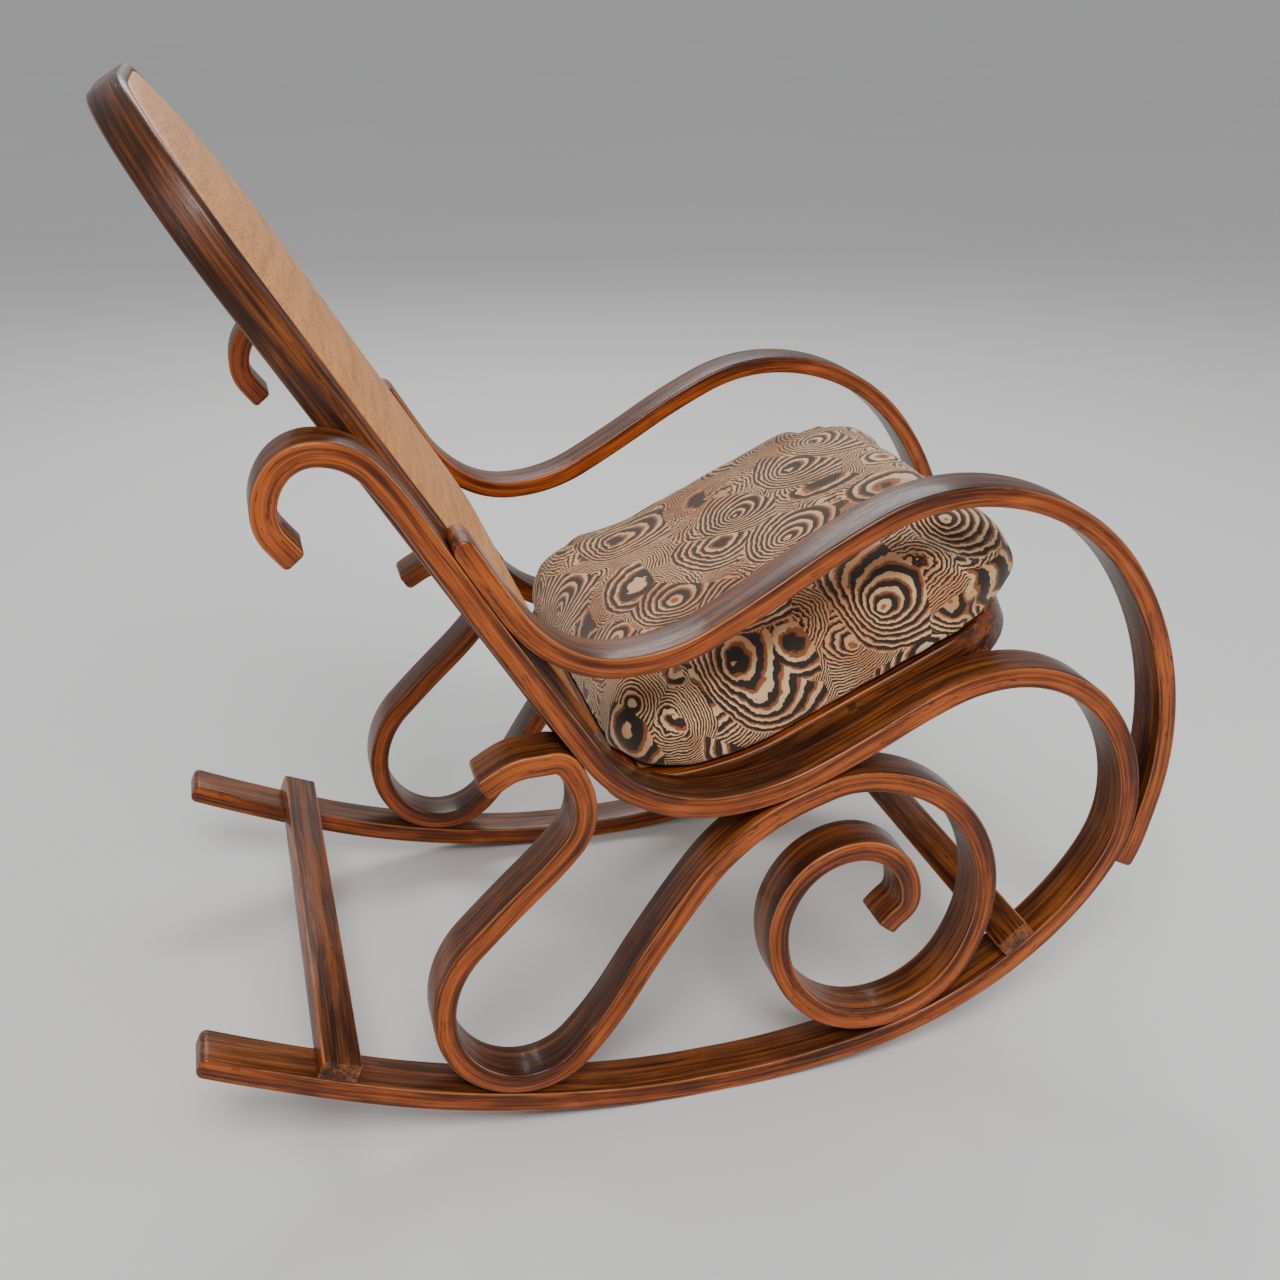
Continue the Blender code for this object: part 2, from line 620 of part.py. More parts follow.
def fasten_sides(joints):
    """Screws through the side frame's free face into the strip or bar that lies on it."""
    laps = [("armrest_back_upper_screw", "armrest", BACK_RUN, ARM_LAP[0][1] + ARM_SCREW_INSET, 1),
            ("armrest_back_lower_screw", "armrest", BACK_RUN, ARM_LAP[1][1] - ARM_SCREW_INSET, 1),
            ("armrest_foot_screw", "armrest", FRONT_FOOT,
             (ARM_FOOT_LAP[0][1] + ARM_FOOT_LAP[1][1]) / 2, 1)]
    names = ("scroll_back_screw", "scroll_rocker_rear_screw", "scroll_seat_screw",
             "scroll_rocker_front_screw")
    laps += [(name, "scroll", *touch, -1) for name, touch in zip(names, SCROLL_TOUCHES)]
    laps += [(f"{name}_crossbar_screw", f"{name}_crossbar", span, fraction, -1)
             for name, span, fraction in CROSSBAR_SEATS]
    for side, sign in SIDES:
        for name, partner, span, fraction, facing in laps:
            x, z, heading = place_on(FRAME, span, fraction)
            direction = Vector((-sin(heading), 0, cos(heading))) * facing
            head = Vector((x, sign * SIDE_Y, z)) - direction * FRAME_THICKNESS / 2
            piece = partner if "crossbar" in partner else f"{side}_{partner}"
            joints.screw(f"{side}_{name}", head, direction, FRAME_THICKNESS + SCREW_BITE,
                         (f"{side}_side_frame", piece))


def fasten_seat(joints):
    """Screws from inside the ring into the side frames."""
    bend, straight = seat_curve()
    for name, distance in SEAT_SCREW_REACHES:
        on_curve = distance <= SEAT_CURVE_LENGTH
        run = bend if on_curve else straight
        x = run_end(run, distance if on_curve else distance - SEAT_CURVE_LENGTH)[0]
        spans = (SEAT_REAR_BEND, SEAT_RISE, SEAT_CREST)
        nearest = min((place_on(FRAME, span, i / 40) for span in spans for i in range(41)),
                      key=lambda place: abs(place[0] - x))
        for side, sign in SIDES:
            head = Vector((nearest[0], sign * (INNER_Y - RING_THICKNESS), nearest[1]))
            joints.screw(f"{side}_seat_{name}_screw", head, (0, sign, 0),
                         RING_THICKNESS + SCREW_BITE, ("seat_ring", f"{side}_side_frame"))


def fasten_back(joints, frame, leg_end):
    """Screws from inside the hoop's legs into the side frames, behind the panel."""
    bpy.context.view_layer.update()
    for name, distance in (("upper", BACK_SCREW_DROP), ("lower", leg_end - BACK_SCREW_RISE)):
        for side, sign in SIDES:
            local = Vector((distance, sign * (INNER_Y - BACK_STRIP_WIDTH), 0))
            head = frame.matrix_world @ local
            joints.screw(f"{side}_back_{name}_screw", head, (0, sign, 0),
                         BACK_STRIP_WIDTH + SCREW_BITE, ("back_hoop", f"{side}_side_frame"))


def centre_on_origin():
    """Move the chair along X so that the middle of its outline is over the origin."""
    bpy.context.view_layer.update()
    reach = [(thing.matrix_world @ Vector(corner)).x for thing in bpy.data.objects
             if thing.type == "MESH" for corner in thing.bound_box]
    for thing in bpy.data.objects:
        if thing.parent is None:
            thing.location.x -= (min(reach) + max(reach)) / 2


def main():
    clear_scene()
    beech = make_material("stained_beech", BEECH, 0.28)
    veneer = make_material("pale_veneer", VENEER, 0.45)
    birch = make_material("birch_ply", BIRCH, 0.6)
    fabric = make_material("cushion_fabric", FABRIC, 0.9)
    steel = make_material("screw_steel", STEEL, 0.35, 1.0)
    joints = Joints(steel)
    for side, sign in SIDES:
        build_side(side, sign, beech)
    build_crossbars(beech)
    frame, leg_end = build_back(beech, veneer)
    build_seat(beech, birch, fabric)
    fasten_sides(joints)
    fasten_seat(joints)
    fasten_back(joints, frame, leg_end)
    joints.drill()
    centre_on_origin()


main()
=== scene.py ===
from math import acos, atan2, ceil, cos, degrees, hypot, pi, radians, sin, sqrt

import bmesh
import bpy
from bpy.props import FloatProperty, FloatVectorProperty, PointerProperty
from mathutils import Matrix, Vector, kdtree


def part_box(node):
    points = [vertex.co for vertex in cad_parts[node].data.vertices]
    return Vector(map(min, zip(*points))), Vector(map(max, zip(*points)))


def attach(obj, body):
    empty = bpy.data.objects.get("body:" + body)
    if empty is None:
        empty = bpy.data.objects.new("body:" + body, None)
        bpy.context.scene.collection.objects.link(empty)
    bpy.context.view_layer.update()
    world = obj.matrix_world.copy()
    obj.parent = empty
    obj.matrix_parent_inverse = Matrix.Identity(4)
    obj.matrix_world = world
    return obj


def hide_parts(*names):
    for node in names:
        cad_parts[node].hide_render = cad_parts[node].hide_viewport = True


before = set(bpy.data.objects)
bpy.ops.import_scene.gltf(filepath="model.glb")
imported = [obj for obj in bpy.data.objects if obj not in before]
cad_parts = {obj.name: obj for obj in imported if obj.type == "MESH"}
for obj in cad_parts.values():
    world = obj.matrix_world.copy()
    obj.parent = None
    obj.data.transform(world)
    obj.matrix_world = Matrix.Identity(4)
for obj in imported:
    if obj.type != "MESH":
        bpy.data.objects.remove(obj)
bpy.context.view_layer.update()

bl_info = {
    "name": "Bentwood Rocking Chair",
    "version": (1, 0, 0),
    "blender": (4, 5, 0),
    "location": "View3D > Sidebar > Rocker",
    "description": "Bends the strips, lays the seat and dresses the cushion of a rocking chair",
    "category": "Add Mesh",
}

# ---------------------------------------- where the chair stands
ARM_FRONT = 0.484                # the armrest's foremost face, from the rocker's lowest point
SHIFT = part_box("left_armrest")[1][0] - ARM_FRONT
HALF_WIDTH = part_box("left_side_frame")[1][1]
SIDE_Y = (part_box("left_side_frame")[0][1] + HALF_WIDTH) / 2
STRIP_DEPTH = 2 * (HALF_WIDTH - SIDE_Y)
INNER_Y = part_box("seat_ring")[1][1]
FIT_GAP = 0.0003

FRAME_THICKNESS = 0.022
ARM_THICKNESS = 0.020
SCROLL_THICKNESS = 0.022
SEAT_RAIL_HEIGHT = 0.338
SEAT_CREST_HEIGHT = 0.434
SEAT_CREST_REACH = 0.291
SEAT_BEND_SETBACK = 0.117
SEAT_BEND_SHARE = 0.604
SEAT_BEND_STEEPNESS = 1.588
SEAT_CLIMB = SEAT_CREST_HEIGHT - SEAT_RAIL_HEIGHT
SEAT_SLOPE = degrees(atan2(SEAT_CLIMB, SEAT_CREST_REACH))
FRONT_REACH = 0.442
HOOK_HEIGHT = 0.711
ROCKER_REAR_REACH = 0.502
ROCKER_REAR_HEIGHT = 0.143
ROCKER_LOW = FRAME_THICKNESS / 2
ROCKER_LEVEL = 0.030
ARM_HEIGHT = 0.623
ARM_LOW_HEIGHT = 0.494
ARM_REACH = 0.474
CHORD_ERROR = 0.00003            # how far a bend's flats may lie inside its arc
SAMPLE_SPACING = 0.002           # between the points of a line that the grain is measured from
HOLE_SLACK = 0.00045             # between a screw and its hole

SIDES = (("left", 1), ("right", -1))


# ---------------------------------------- sizes and colours on show

def length_field(name, description, default, low, high):
    return FloatProperty(name=name, description=description, default=default, min=low, max=high,
                         unit="LENGTH")


def colour_field(name, description, default):
    return FloatVectorProperty(name=name, description=description, default=default, min=0, max=1,
                               subtype="COLOR")


class ChairSizes(bpy.types.PropertyGroup):
    strip_edge: length_field("Strip edge", "Rounding of the strips' long edges", 0.0032, 0.0005, 0.008)
    bar_edge: length_field("Bar edge", "Rounding of the crossbars' edges", 0.0018, 0.0005, 0.006)
    panel_crown: length_field("Panel crown", "Rise of the back panel's middle", 0.0178, 0.0, 0.03)
    cushion_puff: length_field("Cushion puff", "Furthest a point of the cover may swell", 0.005, 0.0, 0.03)
    ring_spacing: length_field("Ring spacing", "Width of one printed ring and its gap", 0.0062, 0.003, 0.04)


class ChairColours(bpy.types.PropertyGroup):
    stain_dark: colour_field("Dark stain", "Darkest streaks of the stained beech", (0.016, 0.0036, 0.0012))
    stain: colour_field("Stain", "Usual colour of the stained beech", (0.110, 0.0260, 0.0048))
    stain_light: colour_field("Light stain", "Lightest streaks of the stained beech", (0.300, 0.0860, 0.0160))
    # Partly rubbed-off stain and partly a painted highlight along the edges.
    worn_and_highlit_edge: colour_field("Worn edge", "Beech where the stain has rubbed off", (0.560, 0.230, 0.085))
    veneer: colour_field("Veneer", "Pale veneer of the back panel", (0.66, 0.285, 0.092))
    cloth_ground: colour_field("Cloth ground", "Cream ground of the printed cloth", (0.74, 0.48, 0.25))
    cloth_dark: colour_field("Cloth dark", "Near-black rings of the print", (0.022, 0.011, 0.007))
    cloth_rust: colour_field("Cloth rust", "Rust-brown rings of the print", (0.270, 0.078, 0.022))


def sizes():
    return bpy.context.scene.chair_sizes


def colours():
    return bpy.context.scene.chair_colours


# ---------------------------------------- lines made of arcs
# A run is (x, z, heading, length, curvature): a straight or an arc that starts at x, z.

def run_end(run, length=None):
    x, z, heading, full, curvature = run
    s = full if length is None else length
    turned = heading + curvature * s
    if abs(curvature) < 1e-6:
        return x + s * cos(heading), z + s * sin(heading), turned
    return (x + (sin(turned) - sin(heading)) / curvature,
            z - (cos(turned) - cos(heading)) / curvature, turned)


def run_to(x, z, heading, goal_x, goal_z):
    """The one arc that leaves a point along a heading and passes through a goal."""
    chord = hypot(goal_x - x, goal_z - z)
    swing = atan2(goal_z - z, goal_x - x) - heading
    swing = (swing + pi) % (2 * pi) - pi
    if abs(swing) < 1e-6:
        return x, z, heading, chord, 0.0
    radius = chord / (2 * sin(swing))
    return x, z, heading, radius * 2 * swing, 1 / radius


def arc_pair(start, end):
    """Two tangent arcs between two places, each given as x, z and heading in degrees."""
    x0, z0, h0 = start[0], start[1], radians(start[2])
    x1, z1, h1 = end[0], end[1], radians(end[2])
    vx, vz = x1 - x0, z1 - z0
    tx, tz = cos(h0) + cos(h1), sin(h0) + sin(h1)
    a = 2 * (1 - cos(h0 - h1))
    b = 2 * (vx * tx + vz * tz)
    c = -(vx * vx + vz * vz)
    reach = -c / b if abs(a) < 1e-9 else (sqrt(b * b - 4 * a * c) - b) / (2 * a)
    mid_x = (x0 + x1 + reach * (cos(h0) - cos(h1))) / 2
    mid_z = (z0 + z1 + reach * (sin(h0) - sin(h1))) / 2
    first = run_to(x0, z0, h0, mid_x, mid_z)
    return [first, run_to(mid_x, mid_z, run_end(first)[2], x1, z1)]


def line_through(places):
    runs = []
    for start, end in zip(places[:-1], places[1:]):
        runs += arc_pair(start, end)
    return runs


def place_on(line, span, fraction):
    """x, z and heading at a fraction of the stretch between two neighbouring places."""
    first, second = line[2 * span], line[2 * span + 1]
    distance = fraction * (first[3] + second[3])
    if distance <= first[3]:
        return run_end(first, distance)
    return run_end(second, distance - first[3])


def beside(line, span, fraction, offset, reverse=False):
    """A place at an offset to the left of a line, heading along it or back along it."""
    x, z, heading = place_on(line, span, fraction)
    turn = 180 if reverse else 0
    return x - offset * sin(heading), z + offset * cos(heading), degrees(heading) + turn


def trimmed(line, start, end):
    """The same line, shortened at both ends."""
    x, z, heading = run_end(line[0], start)
    first = (x, z, heading, line[0][3] - start, line[0][4])
    return [first, *line[1:-1], (*line[-1][:3], line[-1][3] - end, line[-1][4])]


# Each place is x, z and heading in degrees, measured from the rocker's lowest point.
FRAME = line_through([
    (-0.370, HOOK_HEIGHT - 0.089, 130),
    (-0.392, HOOK_HEIGHT - 0.048, 90),
    (-0.350, HOOK_HEIGHT, 0),
    (-0.272, HOOK_HEIGHT - 0.069, -60),
    (-0.125, SEAT_RAIL_HEIGHT + 0.066, -57),
    (0.000, SEAT_RAIL_HEIGHT, 0),
    (SEAT_CREST_REACH - SEAT_BEND_SETBACK, SEAT_RAIL_HEIGHT + SEAT_BEND_SHARE * SEAT_CLIMB,
     SEAT_BEND_STEEPNESS * SEAT_SLOPE),
    (SEAT_CREST_REACH, SEAT_CREST_HEIGHT, 0),
    (FRONT_REACH, SEAT_CREST_HEIGHT - 0.166, -90),
    (FRONT_REACH - 0.058, SEAT_CREST_HEIGHT - 0.287, -133),
    (0.149, ROCKER_LOW + 0.0125, -170.5),
    (ROCKER_LEVEL / 2, ROCKER_LOW, -180),
    (-ROCKER_LEVEL / 2, ROCKER_LOW, -180),
    (-0.201, ROCKER_LOW + 0.021, -192),
    (-ROCKER_REAR_REACH, ROCKER_REAR_HEIGHT, -206),
])

BACK_RUN, SEAT_RISE = 3, 5
FRONT_FOOT, FRONT_SWEEP, ROCKER_TAIL = 8, 9, 13
TO_ARM = FRAME_THICKNESS / 2 + ARM_THICKNESS / 2 + FIT_GAP
TO_SCROLL = FRAME_THICKNESS / 2 + SCROLL_THICKNESS / 2 + FIT_GAP

ARM = line_through([
    beside(FRAME, BACK_RUN, 0.11, TO_ARM),
    beside(FRAME, BACK_RUN, 0.40, TO_ARM),
    (-0.095, ARM_LOW_HEIGHT, 0),
    (0.070, (ARM_LOW_HEIGHT + ARM_HEIGHT) / 2 + 0.004, 32),
    (0.228, ARM_HEIGHT, 0),
    (ARM_REACH, ARM_HEIGHT - 0.292, -90),
    beside(FRAME, FRONT_FOOT, 0.24, TO_ARM),
    beside(FRAME, FRONT_FOOT, 0.46, TO_ARM),
])

SCROLL = line_through([
    (-0.229, SEAT_RAIL_HEIGHT + 0.050, 34),
    (-0.184, SEAT_RAIL_HEIGHT + 0.069, 0),
    beside(FRAME, BACK_RUN, 0.965, -TO_SCROLL),
    (-0.134, SEAT_RAIL_HEIGHT + 0.016, -90),
    (-0.180, 0.282, -137),
    (-0.275, 0.143, -90),
    beside(FRAME, ROCKER_TAIL, 0.045, -TO_SCROLL, reverse=True),
    (-0.095, 0.141, 59),
    beside(FRAME, SEAT_RISE, 0.43, -TO_SCROLL),
    (*beside(FRAME, SEAT_RISE, 0.687, -0.0305)[:2], 0),
    (0.288, 0.191, -90),
    beside(FRAME, FRONT_SWEEP, 0.76, -TO_SCROLL),
    (0.061, 0.177, 90),
    (0.140, 0.264, 0),
    (0.203, 0.200, -90),
    (0.178, 0.166, -128),
])


# ---------------------------------------- mesh tools

def rounded_section(bm, low, high, radius):
    """A rectangle in the YZ plane with rounded corners, as one face."""
    corners = [bm.verts.new((0, y, z)) for y, z in
               ((low[0], low[1]), (high[0], low[1]), (high[0], high[1]), (low[0], high[1]))]
    bm.faces.new(corners)
    bmesh.ops.bevel(bm, geom=corners, offset=radius, offset_type="OFFSET", segments=4, profile=0.5,
                    affect="VERTICES", material=-1)
    return bm.faces[:][0]


NOSE_OUT = (0, 24, 46, 68, 90)   # degrees round a strip's end, from the full section to the tip


def nose_scale(size, rounding, angle):
    """Shares of a section's width and thickness left at an angle round its end."""
    return [(full / 2 - r * (1 - cos(radians(angle)))) / (full / 2) for full, r in zip(size, rounding)]


def nose(bm, face, heading, size, length, rounding, angles):
    """Extrude a section through a rounded end, growing from 90 degrees to 0 or closing from 0 to 90."""
    turn = Matrix.Rotation(heading, 4, "Y")
    for before, now in zip(angles, angles[1:]):
        face = bmesh.ops.extrude_discrete_faces(bm, faces=[face])["faces"][0]
        ahead = length * abs(sin(radians(now)) - sin(radians(before)))
        bmesh.ops.translate(bm, verts=face.verts, vec=Vector((cos(heading), 0, sin(heading))) * ahead)
        wide, thick = (new / old for new, old in zip(nose_scale(size, rounding, now),
                                                     nose_scale(size, rounding, before)))
        space = turn @ Matrix.Translation(-face.calc_center_median())
        bmesh.ops.scale(bm, vec=(1, wide, thick), verts=face.verts, space=space)
    return face


def sweep(bm, face, runs, thickness):
    """Carry a section along runs; returns the section's last face."""
    for x, z, heading, length, curvature in runs:
        geometry = [face] + list(face.edges) + list(face.verts)
        if abs(curvature) < 1e-6:
            step = Vector((cos(heading), 0, sin(heading))) * length
            grown = bmesh.ops.spin(bm, geom=geometry, cent=(0, 0, 0), axis=(0, 1, 0), dvec=step,
                                   angle=0, steps=1, use_duplicate=False)
        else:
            radius = 1 / curvature
            centre = (x - sin(heading) * radius, 0, z + cos(heading) * radius)
            facet = 2 * acos(1 - CHORD_ERROR / (abs(radius) + thickness / 2))
            grown = bmesh.ops.spin(bm, geom=geometry, cent=centre, axis=(0, 1, 0),
                                   angle=-length * curvature, use_duplicate=False,
                                   steps=max(1, ceil(abs(length * curvature) / facet)))
        face = [item for item in grown["geom_last"] if isinstance(item, bmesh.types.BMFace)][0]
    return face


def samples(runs):
    """Distance, x, z and heading at close steps along runs."""
    travelled = 0.0
    points = []
    for run in runs:
        count = max(1, ceil(run[3] / SAMPLE_SPACING))
        for step in range(count):
            along = run[3] * step / count
            points.append((travelled + along, *run_end(run, along)))
        travelled += run[3]
    points.append((travelled, *run_end(runs[-1])))
    return points


def store_grain(bm, measure):
    """Store on every point where it lies in its piece: along it, across it and through it."""
    grain = bm.verts.layers.float_vector.new("grain")
    for vert in bm.verts:
        vert[grain] = measure(vert.co)


def write_grain(bm, runs, through=0.0):
    """Store the grain of a strip bent along runs, which lie this far through it from its middle."""
    points = samples(runs)
    tree = kdtree.KDTree(len(points))
    for index, (_, x, z, _) in enumerate(points):
        tree.insert((x, 0, z), index)
    tree.balance()

    def measure(co):
        distance, x, z, heading = points[tree.find((co.x, 0, co.z))[1]]
        dx, dz = co.x - x, co.z - z
        return (distance + dx * cos(heading) + dz * sin(heading), co.y,
                dz * cos(heading) - dx * sin(heading) + through)

    store_grain(bm, measure)


def add_object(name, data):
    thing = bpy.data.objects.new(name, data)
    bpy.context.collection.objects.link(thing)
    return thing


def finish_mesh(name, bm, material, sharp=40):
    """A new object at the origin from a finished bmesh."""
    bmesh.ops.remove_doubles(bm, verts=bm.verts, dist=1e-6)
    bmesh.ops.recalc_face_normals(bm, faces=bm.faces)
    mesh = bpy.data.meshes.new(name)
    bm.to_mesh(mesh)
    bm.free()
    mesh.shade_smooth()
    mesh.set_sharp_from_angle(angle=radians(sharp))
    mesh.materials.append(material)
    return add_object(name, mesh)


def stand_for(piece, node):
    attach(piece, "root")
    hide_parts(node)


def screw_nodes(word=""):
    return [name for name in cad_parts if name.endswith("_screw") and word in name]


def drill(piece, screws):
    """Cut the places of the screws into a piece."""
    holes = bmesh.new()
    for name in screws:
        before = set(holes.verts)
        holes.from_mesh(bpy.data.objects[name].data)
        new = [vert for vert in holes.verts if vert not in before]
        bmesh.ops.remove_doubles(holes, verts=new, dist=1e-5)
    holes.normal_update()
    for vert in holes.verts:
        vert.co += vert.normal * HOLE_SLACK
    mesh = bpy.data.meshes.new("holes")
    holes.to_mesh(mesh)
    holes.free()
    cutter = add_object("holes", mesh)
    cut = piece.modifiers.new("holes", "BOOLEAN")
    cut.operation = "DIFFERENCE"
    cut.solver = "EXACT"
    cut.object = cutter
    apply_modifiers(piece)
    bpy.data.objects.remove(cutter, do_unlink=True)


def apply_modifiers(piece):
    graph = bpy.context.evaluated_depsgraph_get()
    baked = bpy.data.meshes.new_from_object(piece.evaluated_get(graph), preserve_all_data_layers=True,
                                            depsgraph=graph)
    piece.modifiers.clear()
    piece.data = baked


# ---------------------------------------- shader tools

class Value:
    """A number that varies over a surface; arithmetic on it adds Math nodes."""

    def __init__(self, finish, socket):
        self.finish = finish
        self.socket = socket

    def __add__(self, other):
        return self.finish.math("ADD", self, other)

    def __sub__(self, other):
        return self.finish.math("SUBTRACT", self, other)

    def __rsub__(self, other):
        return self.finish.math("SUBTRACT", other, self)

    def __mul__(self, other):
        return self.finish.math("MULTIPLY", self, other)

    def __truediv__(self, other):
        return self.finish.math("DIVIDE", self, other)

    __radd__ = __add__
    __rmul__ = __mul__


class Finish:
    """A material under construction."""

    def __init__(self, name):
        self.material = bpy.data.materials.new(name)
        self.material.use_nodes = True
        self.tree = self.material.node_tree
        self.shader = self.tree.nodes["Principled BSDF"]

    def node(self, kind, settings=None, inputs=None, output=0):
        made = self.tree.nodes.new(kind)
        for key, value in (settings or {}).items():
            if key == "stops":
                ramp = made.color_ramp
                while len(ramp.elements) < len(value):
                    ramp.elements.new(0.5)
                for element, (position, colour) in zip(ramp.elements, value):
                    element.position = position
                    element.color = (*colour, 1)
            else:
                setattr(made, key, value)
        for key, value in (inputs or {}).items():
            if isinstance(value, Value):
                self.tree.links.new(value.socket, made.inputs[key])
            else:
                made.inputs[key].default_value = value
        return Value(self, made.outputs[output])

    def math(self, operation, *values):
        return self.node("ShaderNodeMath", {"operation": operation}, dict(enumerate(values)))

    def vector(self, operation, *values, output=0):
        return self.node("ShaderNodeVectorMath", {"operation": operation}, dict(enumerate(values)), output)

    def attribute(self, name):
        return self.node("ShaderNodeAttribute", {"attribute_name": name}, output="Vector")

    def place(self):
        return self.node("ShaderNodeTexCoord", output="Object")

    def parts(self, vector):
        return [self.node("ShaderNodeSeparateXYZ", None, {0: vector}, output) for output in "XYZ"]

    def noise(self, vector, scale=1.0, detail=3.0, roughness=0.55, output="Fac"):
        return self.node("ShaderNodeTexNoise", None, {"Vector": vector, "Scale": scale, "Detail": detail,
                                                      "Roughness": roughness}, output)

    def stretch(self, vector, scale, move=(0, 0, 0)):
        return self.vector("MULTIPLY_ADD", vector, scale, move)

    def between(self, value, low, high):
        """0 below low, 1 above high, smooth between them."""
        return self.node("ShaderNodeMapRange", {"interpolation_type": "SMOOTHSTEP"},
                         {"Value": value, "From Min": low, "From Max": high})

    def ramp(self, value, stops):
        return self.node("ShaderNodeValToRGB", {"stops": stops}, {"Fac": value})

    def blend(self, factor, first, second, way="MIX"):
        colour = [(*c[:3], 1) if isinstance(c, tuple) else c for c in (first, second)]
        return self.node("ShaderNodeMix", {"data_type": "RGBA", "blend_type": way, "clamp_factor": True},
                         {0: factor, 6: colour[0], 7: colour[1]}, 2)

    def set(self, name, value):
        if isinstance(value, Value):
            self.tree.links.new(value.socket, self.shader.inputs[name])
        else:
            self.shader.inputs[name].default_value = value

    def bump(self, height, distance, strength):
        self.set("Normal", self.node("ShaderNodeBump", None, {"Height": height, "Distance": distance,
                                                              "Strength": strength}))


def stained_beech(name, half_width, half_thickness):
    """Glossy red-brown beech with long streaks, short dark flecks, rubbed edges with a painted highlight
    along them, and painted sheen on the broad faces.
    """
    f = Finish(name)
    dark, usual, light = (tuple(c) for c in (colours().stain_dark, colours().stain, colours().stain_light))
    grain = f.attribute("grain")
    _, across, through = f.parts(grain)
    sway = f.noise(f.stretch(grain, (3.0, 9.0, 9.0)), 1.0, 2.0) * 0.014
    bent = f.vector("ADD", grain, f.node("ShaderNodeCombineXYZ", None, {1: sway, 2: sway}))
    broad = f.noise(f.stretch(bent, (2.2, 70.0, 70.0)), 1.0, 3.0, 0.6)
    streak = f.noise(f.stretch(bent, (7.0, 330.0, 330.0)), 1.0, 4.0, 0.65)
    cloud = f.noise(f.stretch(grain, (6.0, 16.0, 16.0), (3.1, 0.7, 0.2)), 1.0, 3.0, 0.6)
    value = broad * 0.34 + streak * 0.36 + cloud * 0.30
    base = f.ramp(f.between(value, 0.40, 0.61), [(0.0, dark), (0.42, usual), (1.0, light)])
    line = f.between(f.noise(f.stretch(bent, (2.5, 420.0, 420.0), (7.0, 3.0, 5.0)), 1.0, 2.0, 0.5),
                     0.60, 0.70)
    fleck = f.between(f.noise(f.stretch(bent, (70.0, 520.0, 520.0)), 1.0, 1.0), 0.62, 0.70)
    patch = f.between(cloud, 0.40, 0.58)
    base = f.blend(line * 0.60 + fleck * patch * 0.75, base, (0.010, 0.003, 0.0015))
    side = f.between(f.math("ABSOLUTE", across), half_width - 0.0030, half_width - 0.0012)
    base = f.blend(side * 0.80, base, f.blend(1.0, base, (1.55, 1.15, 0.55, 1), "MULTIPLY"))
    # Painted sheen: greyer patches on the broad faces stand in for the sheen they catch.
    face = f.between(f.math("ABSOLUTE", through), half_thickness - 0.0030, half_thickness - 0.0012)
    painted_sheen = f.between(f.noise(f.stretch(grain, (5.0, 60.0, 60.0), (8.0, 1.0, 2.0)), 1.0, 4.0, 0.65),
                      0.35, 0.70)
    base = f.blend(face * painted_sheen * 0.28, base, (0.100, 0.038, 0.016))
    # Edges: stain rubbed off along them, lightened further by a painted highlight.
    corner = f.math("MAXIMUM", half_width - f.math("ABSOLUTE", across),
                    half_thickness - f.math("ABSOLUTE", through))
    wear_and_highlight_patches = f.between(f.noise(f.stretch(grain, (11.0, 30.0, 30.0), (1.0, 5.0, 3.0)), 1.0, 4.0, 0.7),
                       0.34, 0.62)
    wear_and_highlight = (1 - f.between(corner, 0.0007, 0.0020)) * wear_and_highlight_patches
    base = f.blend(wear_and_highlight * 0.75, base, tuple(colours().worn_and_highlit_edge))
    f.set("Base Color", base)
    haze = f.noise(f.stretch(grain, (24.0, 90.0, 90.0), (2.0, 9.0, 4.0)), 1.0, 4.0, 0.7)
    f.set("Roughness", 0.24 + haze * 0.24 + wear_and_highlight * 0.08)
    f.set("Specular IOR Level", 0.28)
    f.set("Coat Weight", 0.05 + haze * 0.15)
    f.set("Coat Roughness", 0.12)
    f.set("Coat IOR", 1.5)
    f.bump(streak * 0.7 - fleck * 0.5 - line * 0.5 + haze * 0.2, 0.0004, 0.6)
    return f.material


def pale_veneer():
    """Pale rotary-cut veneer: fine lines across the back and small brown flecks."""
    f = Finish("pale_veneer")
    tint = tuple(colours().veneer)
    grain = f.attribute("grain")
    sway = f.noise(f.stretch(grain, (6.0, 6.0, 6.0)), 1.0, 2.0) * 0.02
    bent = f.vector("ADD", grain, f.node("ShaderNodeCombineXYZ", None, {1: sway, 2: sway}))
    band = f.noise(f.stretch(bent, (3.0, 60.0, 60.0)), 1.0, 4.0, 0.6)
    line = f.noise(f.stretch(bent, (16.0, 420.0, 420.0)), 1.0, 3.0, 0.6)
    value = band * 0.6 + line * 0.4
    base = f.ramp(f.between(value, 0.32, 0.70), [(0.0, tuple(c * 0.72 for c in tint)), (0.5, tint),
                                                 (1.0, tuple(min(1, c * 1.16) for c in tint))])
    fleck = f.between(f.noise(f.stretch(bent, (120.0, 620.0, 620.0), (4.0, 0.0, 0.0)), 1.0, 1.0), 0.60, 0.68)
    base = f.blend(fleck * 0.70, base, (0.24, 0.085, 0.028))
    f.set("Base Color", base)
    f.set("Roughness", 0.40 + line * 0.14)
    f.set("Specular IOR Level", 0.22)
    f.bump(line - fleck * 0.6, 0.0003, 0.5)
    return f.material


def birch_ply():
    """Unfinished birch plywood, streaked along the seat."""
    f = Finish("birch_ply")
    place = f.place()
    streak = f.noise(f.stretch(place, (6.0, 160.0, 160.0)), 1.0, 4.0, 0.6)
    f.set("Base Color", f.ramp(streak, [(0.3, (0.40, 0.25, 0.13)), (0.7, (0.66, 0.47, 0.28))]))
    f.set("Roughness", 0.6 + streak * 0.2)
    f.bump(streak, 0.0003, 0.5)
    return f.material


